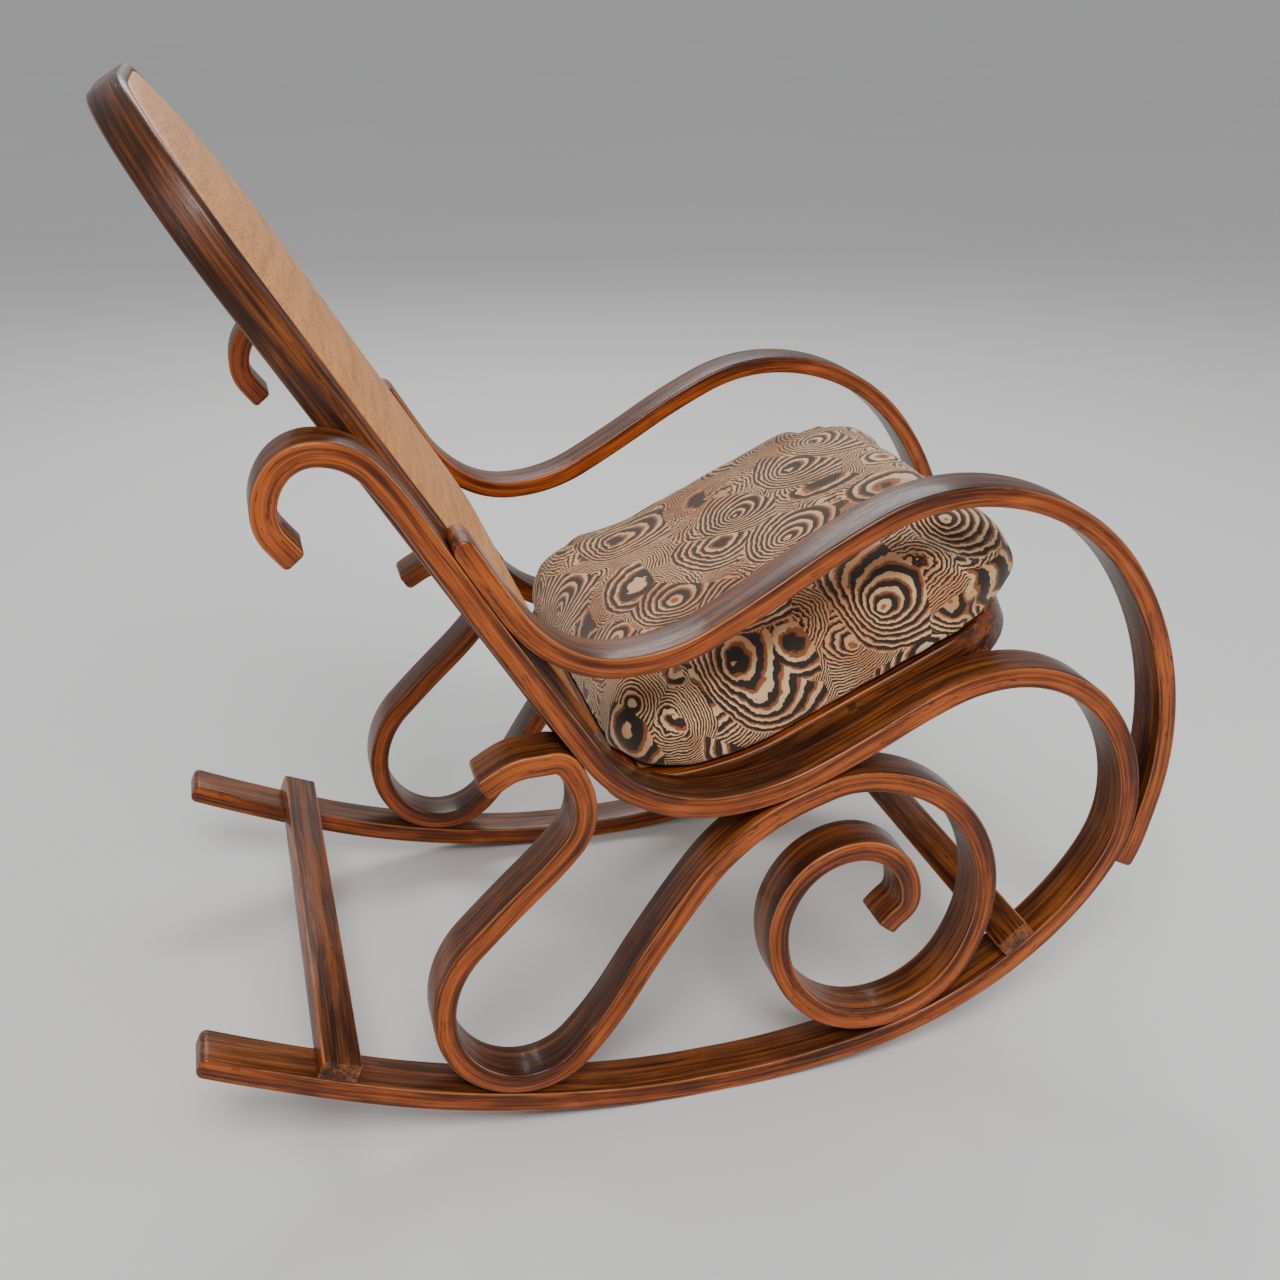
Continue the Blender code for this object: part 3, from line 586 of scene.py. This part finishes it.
def worn_steel():
    """Countersunk steel screws, dulled and slightly browned."""
    f = Finish("screw_steel")
    place = f.place()
    scuff = f.noise(place, 900.0, 3.0, 0.6)
    tarnish = f.between(f.noise(place, 140.0, 3.0), 0.45, 0.65)
    f.set("Base Color", f.blend(tarnish * 0.7, (0.46, 0.42, 0.37), (0.13, 0.085, 0.055)))
    f.set("Metallic", 1 - tarnish * 0.35)
    f.set("Roughness", 0.30 + scuff * 0.25 + tarnish * 0.15)
    f.bump(scuff, 0.0001, 0.4)
    return f.material


def printed_cotton():
    """Cream cotton printed with nested, ragged rings in near-black and rust."""
    f = Finish("printed_cotton")
    place = f.place()
    dark, rust, ground = (tuple(c) for c in (colours().cloth_dark, colours().cloth_rust,
                                             colours().cloth_ground))
    spacing = sizes().ring_spacing
    drift = f.vector("SUBTRACT", f.noise(place, 7.0, 1.0, 0.5, "Color"), (0.5, 0.5, 0.5))
    ragged = f.vector("SUBTRACT", f.noise(place, 105.0, 2.0, 0.6, "Color"), (0.5, 0.5, 0.5))
    warped = f.vector("MULTIPLY_ADD", drift, (0.050, 0.050, 0.050), place)
    warped = f.vector("MULTIPLY_ADD", ragged, (0.0050, 0.0050, 0.0050), warped)

    def rings(scale, lean, period, seed):
        """Eccentric ovals about scattered centres: how far out a point is, and where in its ring."""
        moved = f.vector("ADD", warped, seed)
        centre = f.node("ShaderNodeTexVoronoi", {"feature": "F1"},
                        {"Vector": moved, "Scale": scale, "Randomness": 0.9}, "Position")
        away = f.vector("SUBTRACT", moved, centre)
        reach = f.vector("LENGTH", away, output="Value") + f.vector("DOT_PRODUCT", away, lean, output="Value")
        return reach, f.math("FRACT", f.math("POWER", reach / (8 * period), 0.80) * 8)

    def inked(phase, weight):
        heavy = f.between(phase, 0.0, 0.05) * (1 - f.between(phase - weight, -0.05, 0.05))
        tail = f.between(phase, 0.0, 0.05) * (1 - f.between(phase - weight, 0.16, 0.25))
        return heavy, tail

    weight = 0.28 + f.noise(place, 22.0, 2.0) * 0.42
    reach, phase = rings(9.0, (-0.46, -0.20, -0.34), spacing, (0.127, 0.058, 0.211))
    heavy, tail = inked(phase, weight)
    _, small_phase = rings(13.0, (0.50, 0.25, -0.50), spacing * 0.44, (0.3, 0.17, 0.09))
    small_heavy, small_tail = inked(small_phase, weight * 0.85)
    outside = f.between(reach, 9.0 * spacing, 9.0 * spacing + 0.001)
    heavy = heavy * (1 - outside) + small_heavy * outside
    tail = tail * (1 - outside) + small_tail * outside
    core = f.between(f.noise(place, 14.0, 2.0), 0.46, 0.60)
    warm = f.blend(core, ground, (0.60, 0.290, 0.130))
    colour = f.blend(tail, warm, rust)
    colour = f.blend(heavy, colour, dark)
    weave = f.noise(place, 1500.0, 2.0, 0.7)
    colour = f.blend(0.35, colour, f.blend(weave, (0.62, 0.62, 0.62), (1.25, 1.25, 1.25)), "MULTIPLY")
    f.set("Base Color", colour)
    f.set("Roughness", 0.78 + weave * 0.16)
    f.set("Sheen Weight", 0.25)
    f.set("Sheen Roughness", 0.5)
    f.set("Sheen Tint", (0.95, 0.85, 0.72, 1))
    f.bump(weave + f.noise(place, 420.0, 2.0) * 0.6, 0.0006, 0.55)
    return f.material


# ---------------------------------------- side planes

# Each strip's name, line and thickness, then how its start and its end are rounded off: over what
# length, and how much the width and the thickness draw in.
STRIPS = (
    ("side_frame", FRAME, FRAME_THICKNESS, (0.005, (0.003, 0.004)), (0.007, (0.004, 0.0055))),
    ("armrest", ARM, ARM_THICKNESS, (0.011, (0.003, 0.0085)), (0.004, (0.003, 0.003))),
    ("scroll", SCROLL, SCROLL_THICKNESS, (0.006, (0.003, 0.005)), (0.003, (0.003, 0.002))),
)


def bend_strip(name, line, thickness, start_nose, end_nose, y, material):
    """One strip bent along its line, its ends rounded off, standing in the plane y."""
    runs = trimmed(line, start_nose[0], end_nose[0])
    size = (STRIP_DEPTH, thickness)
    bm = bmesh.new()
    x, z, heading = line[0][:3]
    face = rounded_section(bm, (-STRIP_DEPTH / 2, -thickness / 2), (STRIP_DEPTH / 2, thickness / 2),
                           sizes().strip_edge)
    bmesh.ops.scale(bm, vec=(1, *nose_scale(size, start_nose[1], 90)), verts=bm.verts)
    bmesh.ops.rotate(bm, verts=bm.verts, cent=(0, 0, 0), matrix=Matrix.Rotation(-heading, 3, "Y"))
    bmesh.ops.translate(bm, verts=bm.verts, vec=(x, 0, z))
    face = nose(bm, face, heading, size, *start_nose, NOSE_OUT[::-1])
    face = sweep(bm, face, runs, thickness)
    nose(bm, face, run_end(runs[-1])[2], size, *end_nose, NOSE_OUT)
    bmesh.ops.holes_fill(bm, edges=bm.edges, sides=0)
    write_grain(bm, line)
    bmesh.ops.translate(bm, verts=bm.verts, vec=(SHIFT, y, 0))
    return finish_mesh(name, bm, material)


class CHAIR_OT_bend_sides(bpy.types.Operator):
    """Bend the six strips of the two side planes"""
    bl_idname = "chair.bend_sides"
    bl_label = "Bend Side Planes"

    def execute(self, context):
        for part, line, thickness, start_nose, end_nose in STRIPS:
            material = stained_beech(f"{part}_beech", STRIP_DEPTH / 2, thickness / 2)
            for side, sign in SIDES:
                piece = bend_strip(f"bent_{side}_{part}", line, thickness, start_nose, end_nose,
                                   sign * SIDE_Y, material)
                drill(piece, screw_nodes(side))
                stand_for(piece, f"{side}_{part}")
        return {"FINISHED"}


# ---------------------------------------- crossbars and back

def plain_bar(name, size, edge, place, material):
    """A straight bar with rounded edges, its length along Y before it is placed."""
    bm = bmesh.new()
    bmesh.ops.create_cube(bm, size=1, matrix=Matrix.Diagonal((*size, 1)))
    bmesh.ops.bevel(bm, geom=list(bm.edges), offset=edge, segments=3, profile=0.5, affect="EDGES",
                    material=-1)
    store_grain(bm, lambda co: (co.y + 2 * place.translation.x, co.x, co.z))
    bmesh.ops.transform(bm, matrix=place, verts=bm.verts)
    return finish_mesh(name, bm, material)


CROSSBAR_SIZE = (0.039, 0.570, 0.020)
CROSSBAR_FLAT = 0.0175           # half the width of the flat that bears on the rocker
CROSSBARS = (("rear", ROCKER_TAIL, 0.60), ("front", FRONT_SWEEP, 0.21))


class CHAIR_OT_lay_crossbars(bpy.types.Operator):
    """Lay the two crossbars across the rockers"""
    bl_idname = "chair.lay_crossbars"
    bl_label = "Lay Crossbars"

    def execute(self, context):
        material = stained_beech("crossbar_beech", CROSSBAR_SIZE[0] / 2, CROSSBAR_SIZE[2] / 2)
        for name, span, fraction in CROSSBARS:
            reach = CROSSBAR_FLAT / (FRAME[2 * span][3] + FRAME[2 * span + 1][3])
            (x0, z0, _), (x1, z1, _) = (beside(FRAME, span, mark, -FRAME_THICKNESS / 2 - FIT_GAP)
                                        for mark in (fraction - reach, fraction + reach))
            slope = atan2(z1 - z0, x1 - x0)
            rise = CROSSBAR_SIZE[2] / 2
            place = Matrix.Translation(((x0 + x1) / 2 + rise * sin(slope) + SHIFT, 0,
                                        (z0 + z1) / 2 - rise * cos(slope)))
            bar = plain_bar(f"{name}_bar", CROSSBAR_SIZE, sizes().bar_edge,
                            place @ Matrix.Rotation(-slope, 4, "Y"), material)
            drill(bar, screw_nodes(f"{name}_crossbar"))
            stand_for(bar, f"{name}_crossbar")
        return {"FINISHED"}


BACK_RISE = 0.392
BACK_STRIP_WIDTH = 0.026
BACK_STRIP_DEPTH = 0.036
BACK_SETBACK = 0.001
BACK_CORNER_RADIUS = 0.165
BACK_RAIL = (0.040, 0.018, 0.030)  # width, depth, and its lower edge above the legs' ends
PANEL_THICKNESS = 0.009
PANEL_REBATE = 0.016
PANEL_EASE = 0.0016              # width of the panel's eased edge
PANEL_EASE_DROP = 0.0014         # and how far it is taken down there
LEAST_RADIUS = 0.002             # smallest corner of an inset outline
LEG_OVERRUN = 0.002


def back_place():
    """Where the back stands: local X down the back, Y across, Z out of its front."""
    x0, z0 = place_on(FRAME, BACK_RUN, 0)[:2]
    x1, z1 = place_on(FRAME, BACK_RUN, 1)[:2]
    down = atan2(z1 - z0, x1 - x0)
    spot = (x0 + BACK_SETBACK * sin(down) + SHIFT, 0, z0 - BACK_SETBACK * cos(down))
    return Matrix.Translation(spot) @ Matrix.Rotation(-down, 4, "Y"), hypot(x1 - x0, z1 - z0) + LEG_OVERRUN


def hoop_runs(leg_end):
    """The hoop's outer line drawn flat: x across the chair, z up the back."""
    radius = BACK_CORNER_RADIUS
    leg = BACK_RISE - radius + leg_end
    top = 2 * (INNER_Y - radius)
    quarter = pi / 2 * radius
    runs = [(-INNER_Y, -leg_end, pi / 2, leg, 0.0)]
    for length, curvature in ((quarter, -1 / radius), (top, 0.0), (quarter, -1 / radius), (leg, 0.0)):
        runs.append((*run_end(runs[-1]), length, curvature))
    return runs


def hoop_section(bm):
    """Section of the hoop strip with its rebate: Y is depth, -Z runs in from the outer face."""
    front, width = BACK_STRIP_DEPTH / 2, BACK_STRIP_WIDTH
    shelf = front - PANEL_THICKNESS - FIT_GAP
    lip = width - PANEL_REBATE
    # Each corner and its rounding.
    corners = [((-front, 0), 0.0045), ((-front, -width), 0.003), ((shelf, -width), 0.0008),
               ((shelf, -lip), 0.0004), ((front, -lip), 0.0022), ((front, 0), 0.0065)]
    verts = {bm.verts.new((0, y, z)): radius for (y, z), radius in corners}
    bm.faces.new(list(verts))
    for vert, radius in verts.items():
        bmesh.ops.bevel(bm, geom=[vert], offset=radius, offset_type="OFFSET", segments=5, profile=0.5,
                        affect="VERTICES", material=-1)
    return bm.faces[:][0]


class CHAIR_OT_bend_back(bpy.types.Operator):
    """Bend the back's hoop and fit its lower rail and crowned panel"""
    bl_idname = "chair.bend_back"
    bl_label = "Bend Back"

    def execute(self, context):
        place, leg_end = back_place()
        # The hoop is drawn with its plane in XZ, then laid into the back.
        upright = Matrix(((0, 0, -1, 0), (1, 0, 0, 0), (0, 1, 0, 0), (0, 0, 0, 1)))
        runs = hoop_runs(leg_end)
        bm = bmesh.new()
        face = hoop_section(bm)
        bmesh.ops.rotate(bm, verts=bm.verts, cent=(0, 0, 0), matrix=Matrix.Rotation(-pi / 2, 3, "Y"))
        bmesh.ops.translate(bm, verts=bm.verts, vec=(-INNER_Y, 0, -leg_end))
        sweep(bm, face, runs, BACK_STRIP_WIDTH)
        edges = [edge for edge in bm.edges if edge.is_boundary]
        if edges:
            bmesh.ops.contextual_create(bm, geom=edges)
        write_grain(bm, runs, BACK_STRIP_WIDTH / 2)
        bmesh.ops.transform(bm, matrix=place @ upright, verts=bm.verts)
        hoop = finish_mesh("bent_back_hoop", bm,
                           stained_beech("hoop_beech", BACK_STRIP_DEPTH / 2, BACK_STRIP_WIDTH / 2))
        drill(hoop, screw_nodes("_back_upper") + screw_nodes("_back_lower"))
        stand_for(hoop, "back_hoop")

        width, depth, above = BACK_RAIL
        shelf = BACK_STRIP_DEPTH / 2 - PANEL_THICKNESS - FIT_GAP
        rail_middle = leg_end - above - width / 2
        length = 2 * (INNER_Y - BACK_STRIP_WIDTH - FIT_GAP)
        spot = place @ Matrix.Translation((rail_middle, 0, shelf - FIT_GAP - depth / 2))
        rail = plain_bar("back_rail", (width, length, depth), sizes().bar_edge, spot,
                         stained_beech("rail_beech", width / 2, depth / 2))
        stand_for(rail, "back_lower_rail")
        self.crown_panel(place, shelf, rail_middle + width / 2)
        return {"FINISHED"}

    def crown_panel(self, place, shelf, bottom):
        """A shell of veneer, crowned forward in both directions."""
        edge = BACK_STRIP_WIDTH - PANEL_REBATE + FIT_GAP
        top = edge - BACK_RISE
        half = INNER_Y - edge
        crown = sizes().panel_crown

        def loop(inset):
            return outline(top + inset, bottom - inset, half - inset,
                           max(BACK_CORNER_RADIUS - edge - inset, LEAST_RADIUS),
                           max(2 * LEAST_RADIUS - inset, LEAST_RADIUS), 24, 20)

        bm = bmesh.new()
        insets = [0.0, 0.375 * PANEL_EASE, PANEL_EASE]
        insets += [0.003 + (half - 0.004) * (1 - (1 - step / 26) ** 1.3) for step in range(1, 26)]
        loops = []
        for inset in insets:
            drop = PANEL_EASE_DROP * max(0, 1 - inset / PANEL_EASE) ** 2
            rise = crown * (1 - (1 - inset / half) ** 2.2) - drop
            loops.append(add_loop(bm, [(x, y, rise + PANEL_THICKNESS) for x, y in loop(inset)]))
        for outer, inner in zip(loops[:-1], loops[1:]):
            bmesh.ops.bridge_loops(bm, edges=outer + inner)
        bmesh.ops.triangle_fill(bm, use_beauty=True, edges=loops[-1])
        copy = bmesh.ops.duplicate(bm, geom=list(bm.faces))
        back = [item for item in copy["geom"] if isinstance(item, bmesh.types.BMVert)]
        for vert in back:
            vert.co.z = max(0.0, vert.co.z - PANEL_THICKNESS)
        rim = [edge for edge in bm.edges if edge.is_boundary]
        bmesh.ops.bridge_loops(bm, edges=rim)
        store_grain(bm, lambda co: (co.y, co.x, co.z))
        bmesh.ops.translate(bm, verts=bm.verts, vec=(0, 0, shelf + FIT_GAP))
        bmesh.ops.transform(bm, matrix=place, verts=bm.verts)
        panel = finish_mesh("crowned_back_panel", bm, pale_veneer(), 50)
        stand_for(panel, "back_panel")


# ---------------------------------------- seat

SEAT_REAR = -0.085
SEAT_FRONT = 0.352
RING_THICKNESS = 0.022
RING_HEIGHT = 0.042
RING_EDGE = 0.0035               # rounding of its long edges
RING_GRAIN_RADIUS = 0.24         # turns the angle round the seat into a length of grain
RING_FRONT_RADIUS = 0.090
RING_REAR_RADIUS = 0.060
RING_TOP_REAR = 0.356
SEAT_REAR_SLOPE = -8.0
SEAT_FRONT_STEEPNESS = 1.369
SEAT_CURVE_LENGTH = 0.170


def outline(rear, front, half_width, rear_radius, front_radius, side_parts, corner_steps):
    """Points round a flat shape with rounded corners, its long sides divided evenly."""
    points = []
    corners = ((front, half_width, front_radius, 0), (rear, half_width, rear_radius, 90),
               (rear, -half_width, rear_radius, 180), (front, -half_width, front_radius, 270))
    for x, y, radius, start in corners:
        centre_x = x - radius if x == front else x + radius
        centre_y = y - radius if y > 0 else y + radius
        for step in range(corner_steps + 1):
            angle = radians(start + 90 * step / corner_steps)
            points.append((centre_x + radius * cos(angle), centre_y + radius * sin(angle)))
        length = front - rear - front_radius - rear_radius
        x0, y0 = points[-1]
        if start in (0, 180):
            step = (length if start == 180 else -length) / side_parts
            points += [(x0 + step * i, y0) for i in range(1, side_parts)]
        else:
            width = 2 * (half_width - radius)
            step = (width if start == 270 else -width) / side_parts
            points += [(x0, y0 + step * i) for i in range(1, side_parts)]
    return points


def add_loop(bm, points):
    verts = [bm.verts.new(point) for point in points]
    return [bm.edges.new((a, b)) for a, b in zip(verts, verts[1:] + verts[:1])]


def seat_curve():
    turn = radians(SEAT_FRONT_STEEPNESS * SEAT_SLOPE - SEAT_REAR_SLOPE)
    bend = (SEAT_REAR, RING_TOP_REAR, radians(SEAT_REAR_SLOPE), SEAT_CURVE_LENGTH,
            turn / SEAT_CURVE_LENGTH)
    return bend, (*run_end(bend), 1.0, 0.0)


def lay_on_seat(verts):
    """Bend what was drawn flat, with z = 0 at the ring's top, onto the seat's curve."""
    bend, straight = seat_curve()
    for vert in verts:
        distance = vert.co.x - SEAT_REAR
        if distance <= SEAT_CURVE_LENGTH:
            x, z, heading = run_end(bend, distance)
        else:
            x, z, heading = run_end(straight, distance - SEAT_CURVE_LENGTH)
        vert.co = (x - vert.co.z * sin(heading) + SHIFT, vert.co.y, z + vert.co.z * cos(heading))


class CHAIR_OT_bend_seat(bpy.types.Operator):
    """Bend the seat ring and finish the board inside it"""
    bl_idname = "chair.bend_seat"
    bl_label = "Bend Seat"

    def execute(self, context):
        edge = RING_EDGE
        section = []
        for depth, height, start in ((RING_THICKNESS - edge, -edge, 0), (edge, -edge, 90),
                                     (edge, edge - RING_HEIGHT, 180),
                                     (RING_THICKNESS - edge, edge - RING_HEIGHT, 270)):
            for step in range(5):
                angle = radians(start + 90 * step / 4)
                section.append((depth + edge * cos(angle), height + edge * sin(angle)))
        bm = bmesh.new()
        loops = []
        for inset, height in section:
            points = outline(SEAT_REAR + inset, SEAT_FRONT - inset, INNER_Y - inset,
                             RING_REAR_RADIUS - inset, RING_FRONT_RADIUS - inset, 30, 12)
            loops.append(add_loop(bm, [(x, y, height) for x, y in points]))
        for near, far in zip(loops, loops[1:] + loops[:1]):
            bmesh.ops.bridge_loops(bm, edges=near + far)
        middle = (SEAT_REAR + SEAT_FRONT) / 2

        def measure(co):
            around = abs(atan2(co.y, co.x - middle))
            inset = min(INNER_Y - abs(co.y), co.x - SEAT_REAR, SEAT_FRONT - co.x)
            return around * RING_GRAIN_RADIUS, co.z + RING_HEIGHT / 2, inset - RING_THICKNESS / 2

        store_grain(bm, measure)
        lay_on_seat(bm.verts)
        ring = finish_mesh("bent_seat_ring", bm,
                           stained_beech("ring_beech", RING_HEIGHT / 2, RING_THICKNESS / 2))
        drill(ring, screw_nodes("_seat_front") + screw_nodes("_seat_rear"))
        stand_for(ring, "seat_ring")
        board = bpy.data.objects["seat_board"]
        board.data.materials.clear()
        board.data.materials.append(birch_ply())
        return {"FINISHED"}


# Each row is how far in from the ring's outline and how high above the ring the cover's outside lies.
CUSHION_PROFILE = (
    (0.150, 0.010), (0.060, 0.004), (0.016, 0.0010), (0.006, 0.0014), (0.0018, 0.0050), (0.0008, 0.013),
    (0.001, 0.027), (0.003, 0.043), (0.008, 0.058), (0.018, 0.072), (0.034, 0.084), (0.060, 0.094),
    (0.105, 0.102), (0.150, 0.105),
)
CUSHION_REAR = 0.010             # how far the cushion's rear stands out behind the ring
CUSHION_NOSE = 0.034             # and its front in front of the ring
CUSHION_FALL = 0.012             # how far the nose hangs below the rest
CUSHION_NOSE_SETBACK = 0.060     # where it starts to hang, behind the ring's front
CUSHION_WAIST = 0.020            # height at which the cushion stands out in full
COVER_CLEARANCE = 0.0006         # between the cover and the rails beside it
PUCKER_DEPTH = 0.0022            # of the gathers along the cushion's foot


COVER_MESH = 0.006               # mesh size of the cloth simulation, then its length and its settings
COVER_FRAMES = 20
COVER_CLOTH = {"quality": 6, "mass": 0.25, "tension_stiffness": 12, "compression_stiffness": 9,
               "shear_stiffness": 4, "bending_stiffness": 0.25, "use_pressure": True,
               "uniform_pressure_force": 4.0, "shrink_min": -0.05}


def forward(x):
    """0 over the ring, 1 at the cushion's nose."""
    start = SEAT_FRONT - CUSHION_NOSE_SETBACK
    return min(1.0, max(0.0, (x - start) / (SEAT_FRONT + CUSHION_NOSE - start))) ** 2


def cushion_form():
    """The cushion drawn flat: tucked in at the ring, full at its waist and crowned."""
    bm = bmesh.new()
    loops = []
    for inset, height in CUSHION_PROFILE:
        proud = min(1.0, height / CUSHION_WAIST)
        shape = outline(SEAT_REAR - CUSHION_REAR * proud + inset, SEAT_FRONT + CUSHION_NOSE * proud - inset,
                        INNER_Y - inset, max(RING_REAR_RADIUS + 0.015 - inset * 0.4, 0.03),
                        max(RING_FRONT_RADIUS - inset * 0.4, 0.03), 12, 10)
        loops.append(add_loop(bm, [(x, y, height - CUSHION_FALL * forward(x)) for x, y in shape]))
    for lower, upper in zip(loops[:-1], loops[1:]):
        bmesh.ops.bridge_loops(bm, edges=lower + upper)
    for end in (loops[0], loops[-1]):
        bmesh.ops.triangle_fill(bm, use_beauty=True, edges=end)
    bmesh.ops.recalc_face_normals(bm, faces=bm.faces)
    return bm


def pucker(bm):
    """Gather the cover where it is drawn in over the ring, and let it rest against the rails."""
    middle = (SEAT_REAR + SEAT_FRONT) / 2
    wall = INNER_Y - COVER_CLEARANCE
    for vert in bm.verts:
        x, y, z = vert.co
        around = atan2(y, x - middle)
        gather = sin(around * 46 + 2.0 * sin(around * 7)) * (0.6 + 0.4 * sin(around * 5 + 1.0))
        low = max(0.0, 1 - z / 0.038) * min(1.0, max(0.0, z - 0.001) / 0.006)
        out = Vector((x - middle, y, 0)).normalized()
        vert.co += out * gather * low * PUCKER_DEPTH
        fold = sin(x * 41 + 9 * y) * 0.0004 + sin(x * 17 - 13 * y + 1.3) * 0.0008
        vert.co.z += fold * min(1.0, z / 0.06)
        if abs(vert.co.y) > wall:
            vert.co.y = wall if vert.co.y > 0 else -wall


def swell(piece, limit):
    """Blow the cover up by cloth simulation, no point moving further than the limit."""
    scene = bpy.context.scene
    remesh = piece.modifiers.new("even", "REMESH")
    remesh.mode = "VOXEL"
    remesh.voxel_size = COVER_MESH
    apply_modifiers(piece)
    rest = [vert.co.copy() for vert in piece.data.vertices]
    held = piece.vertex_groups.new(name="held")
    held.add([i for i, co in enumerate(rest) if co.z < 0.007], 1.0, "REPLACE")
    cloth = piece.modifiers.new("cover", "CLOTH")
    for name, value in COVER_CLOTH.items():
        setattr(cloth.settings, name, value)
    cloth.settings.vertex_group_mass = "held"
    cloth.settings.effector_weights.gravity = 0
    cloth.point_cache.frame_start = 1
    cloth.point_cache.frame_end = COVER_FRAMES
    for number in range(1, COVER_FRAMES + 1):
        scene.frame_set(number)
    apply_modifiers(piece)
    scene.frame_set(1)
    piece.vertex_groups.clear()
    for vert, start in zip(piece.data.vertices, rest):
        move = vert.co - start
        if move.length > limit:
            vert.co = start + move * (limit / move.length)


class CHAIR_OT_sew_cushion(bpy.types.Operator):
    """Cut, fill and lay the printed seat cushion"""
    bl_idname = "chair.sew_cushion"
    bl_label = "Sew Cushion"

    def execute(self, context):
        cushion = finish_mesh("printed_cushion", cushion_form(), printed_cotton(), 180)
        swell(cushion, sizes().cushion_puff)
        bm = bmesh.new()
        bm.from_mesh(cushion.data)
        for _ in range(3):
            bmesh.ops.smooth_vert(bm, verts=bm.verts, factor=0.35, use_axis_x=True, use_axis_y=True,
                                  use_axis_z=True)
        pucker(bm)
        lay_on_seat(bm.verts)
        bmesh.ops.recalc_face_normals(bm, faces=bm.faces)
        bm.to_mesh(cushion.data)
        bm.free()
        cushion.data.shade_smooth()
        soften = cushion.modifiers.new("soften", "SUBSURF")
        soften.levels = soften.render_levels = 1
        apply_modifiers(cushion)
        stand_for(cushion, "seat_cushion")
        return {"FINISHED"}


class CHAIR_OT_finish_screws(bpy.types.Operator):
    """Give the screws their worn steel"""
    bl_idname = "chair.finish_screws"
    bl_label = "Finish Screws"

    def execute(self, context):
        steel = worn_steel()
        for name in screw_nodes():
            mesh = bpy.data.objects[name].data
            mesh.materials.clear()
            mesh.materials.append(steel)
        return {"FINISHED"}


# ---------------------------------------- stage

def studio_floor():
    f = Finish("studio_floor")
    cloud = f.noise(f.place(), 0.8, 3.0)
    f.set("Base Color", f.blend(cloud, (0.74, 0.735, 0.725), (0.80, 0.795, 0.785)))
    f.set("Roughness", 0.75)
    return f.material


FLOOR_DROP = 0.0005              # keeps the floor clear of the rockers
CAMERA_SPOT = (SHIFT - 0.410, -1.4442, 1.0565)
CAMERA_TURN = (66.02, 0, -15.74)
CAMERA_LENS, CAMERA_SENSOR = 42.19, 36
LIGHT_TARGET = (0, 0, 0.45)
# Each soft light's name, place, size and power.
LIGHTS = (
    ("key", (-0.6, -2.4, 3.0), (1.6, 1.2), 88),
    ("fill", (2.8, -1.4, 1.6), (1.6, 1.6), 26),
    ("back", (0.4, 2.6, 2.6), (2.2, 1.0), 50),
)
WORLD = {"Color": (0.86, 0.87, 0.88, 1), "Strength": 0.50}


def soft_box(name, spot, size, power):
    light = bpy.data.lights.new(name, "AREA")
    light.shape = "RECTANGLE"
    light.size, light.size_y = size
    light.energy = power
    lamp = add_object(name, light)
    lamp.location = spot
    lamp.rotation_euler = (Vector(LIGHT_TARGET) - Vector(spot)).to_track_quat("-Z", "Y").to_euler()


class CHAIR_OT_set_stage(bpy.types.Operator):
    """Set the floor, the lights and the camera"""
    bl_idname = "chair.set_stage"
    bl_label = "Set Stage"

    def execute(self, context):
        bm = bmesh.new()
        bmesh.ops.create_grid(bm, x_segments=4, y_segments=4, size=80)
        floor = finish_mesh("floor", bm, studio_floor())
        floor.location.z = -FLOOR_DROP
        for light in LIGHTS:
            soft_box(*light)
        world = bpy.data.worlds.new("studio")
        world.use_nodes = True
        for name, value in WORLD.items():
            world.node_tree.nodes["Background"].inputs[name].default_value = value
        context.scene.world = world
        lens = bpy.data.cameras.new("camera")
        lens.sensor_width = CAMERA_SENSOR
        lens.lens = CAMERA_LENS
        camera = add_object("camera", lens)
        camera.location = CAMERA_SPOT
        camera.rotation_euler = [radians(angle) for angle in CAMERA_TURN]
        context.scene.camera = camera
        return {"FINISHED"}


class CHAIR_PT_build(bpy.types.Panel):
    """Lists the chair's steps in the sidebar"""
    bl_idname = "CHAIR_PT_build"
    bl_label = "Rocking Chair"
    bl_space_type = "VIEW_3D"
    bl_region_type = "UI"
    bl_category = "Rocker"

    def draw(self, context):
        for group in (context.scene.chair_sizes, context.scene.chair_colours):
            for name in group.__annotations__:
                self.layout.prop(group, name)
        for step in STEPS:
            self.layout.operator(step.bl_idname)


STEPS = (CHAIR_OT_set_stage, CHAIR_OT_bend_sides, CHAIR_OT_lay_crossbars, CHAIR_OT_bend_back,
         CHAIR_OT_bend_seat, CHAIR_OT_sew_cushion, CHAIR_OT_finish_screws)
CLASSES = (ChairSizes, ChairColours, *STEPS, CHAIR_PT_build)


def register():
    for cls in CLASSES:
        bpy.utils.register_class(cls)
    bpy.types.Scene.chair_sizes = PointerProperty(type=ChairSizes)
    bpy.types.Scene.chair_colours = PointerProperty(type=ChairColours)


def unregister():
    del bpy.types.Scene.chair_colours
    del bpy.types.Scene.chair_sizes
    for cls in reversed(CLASSES):
        bpy.utils.unregister_class(cls)


def main():
    register()
    for step in STEPS:
        group, name = step.bl_idname.split(".")
        getattr(getattr(bpy.ops, group), name)()


if __name__ == "__main__":
    main()
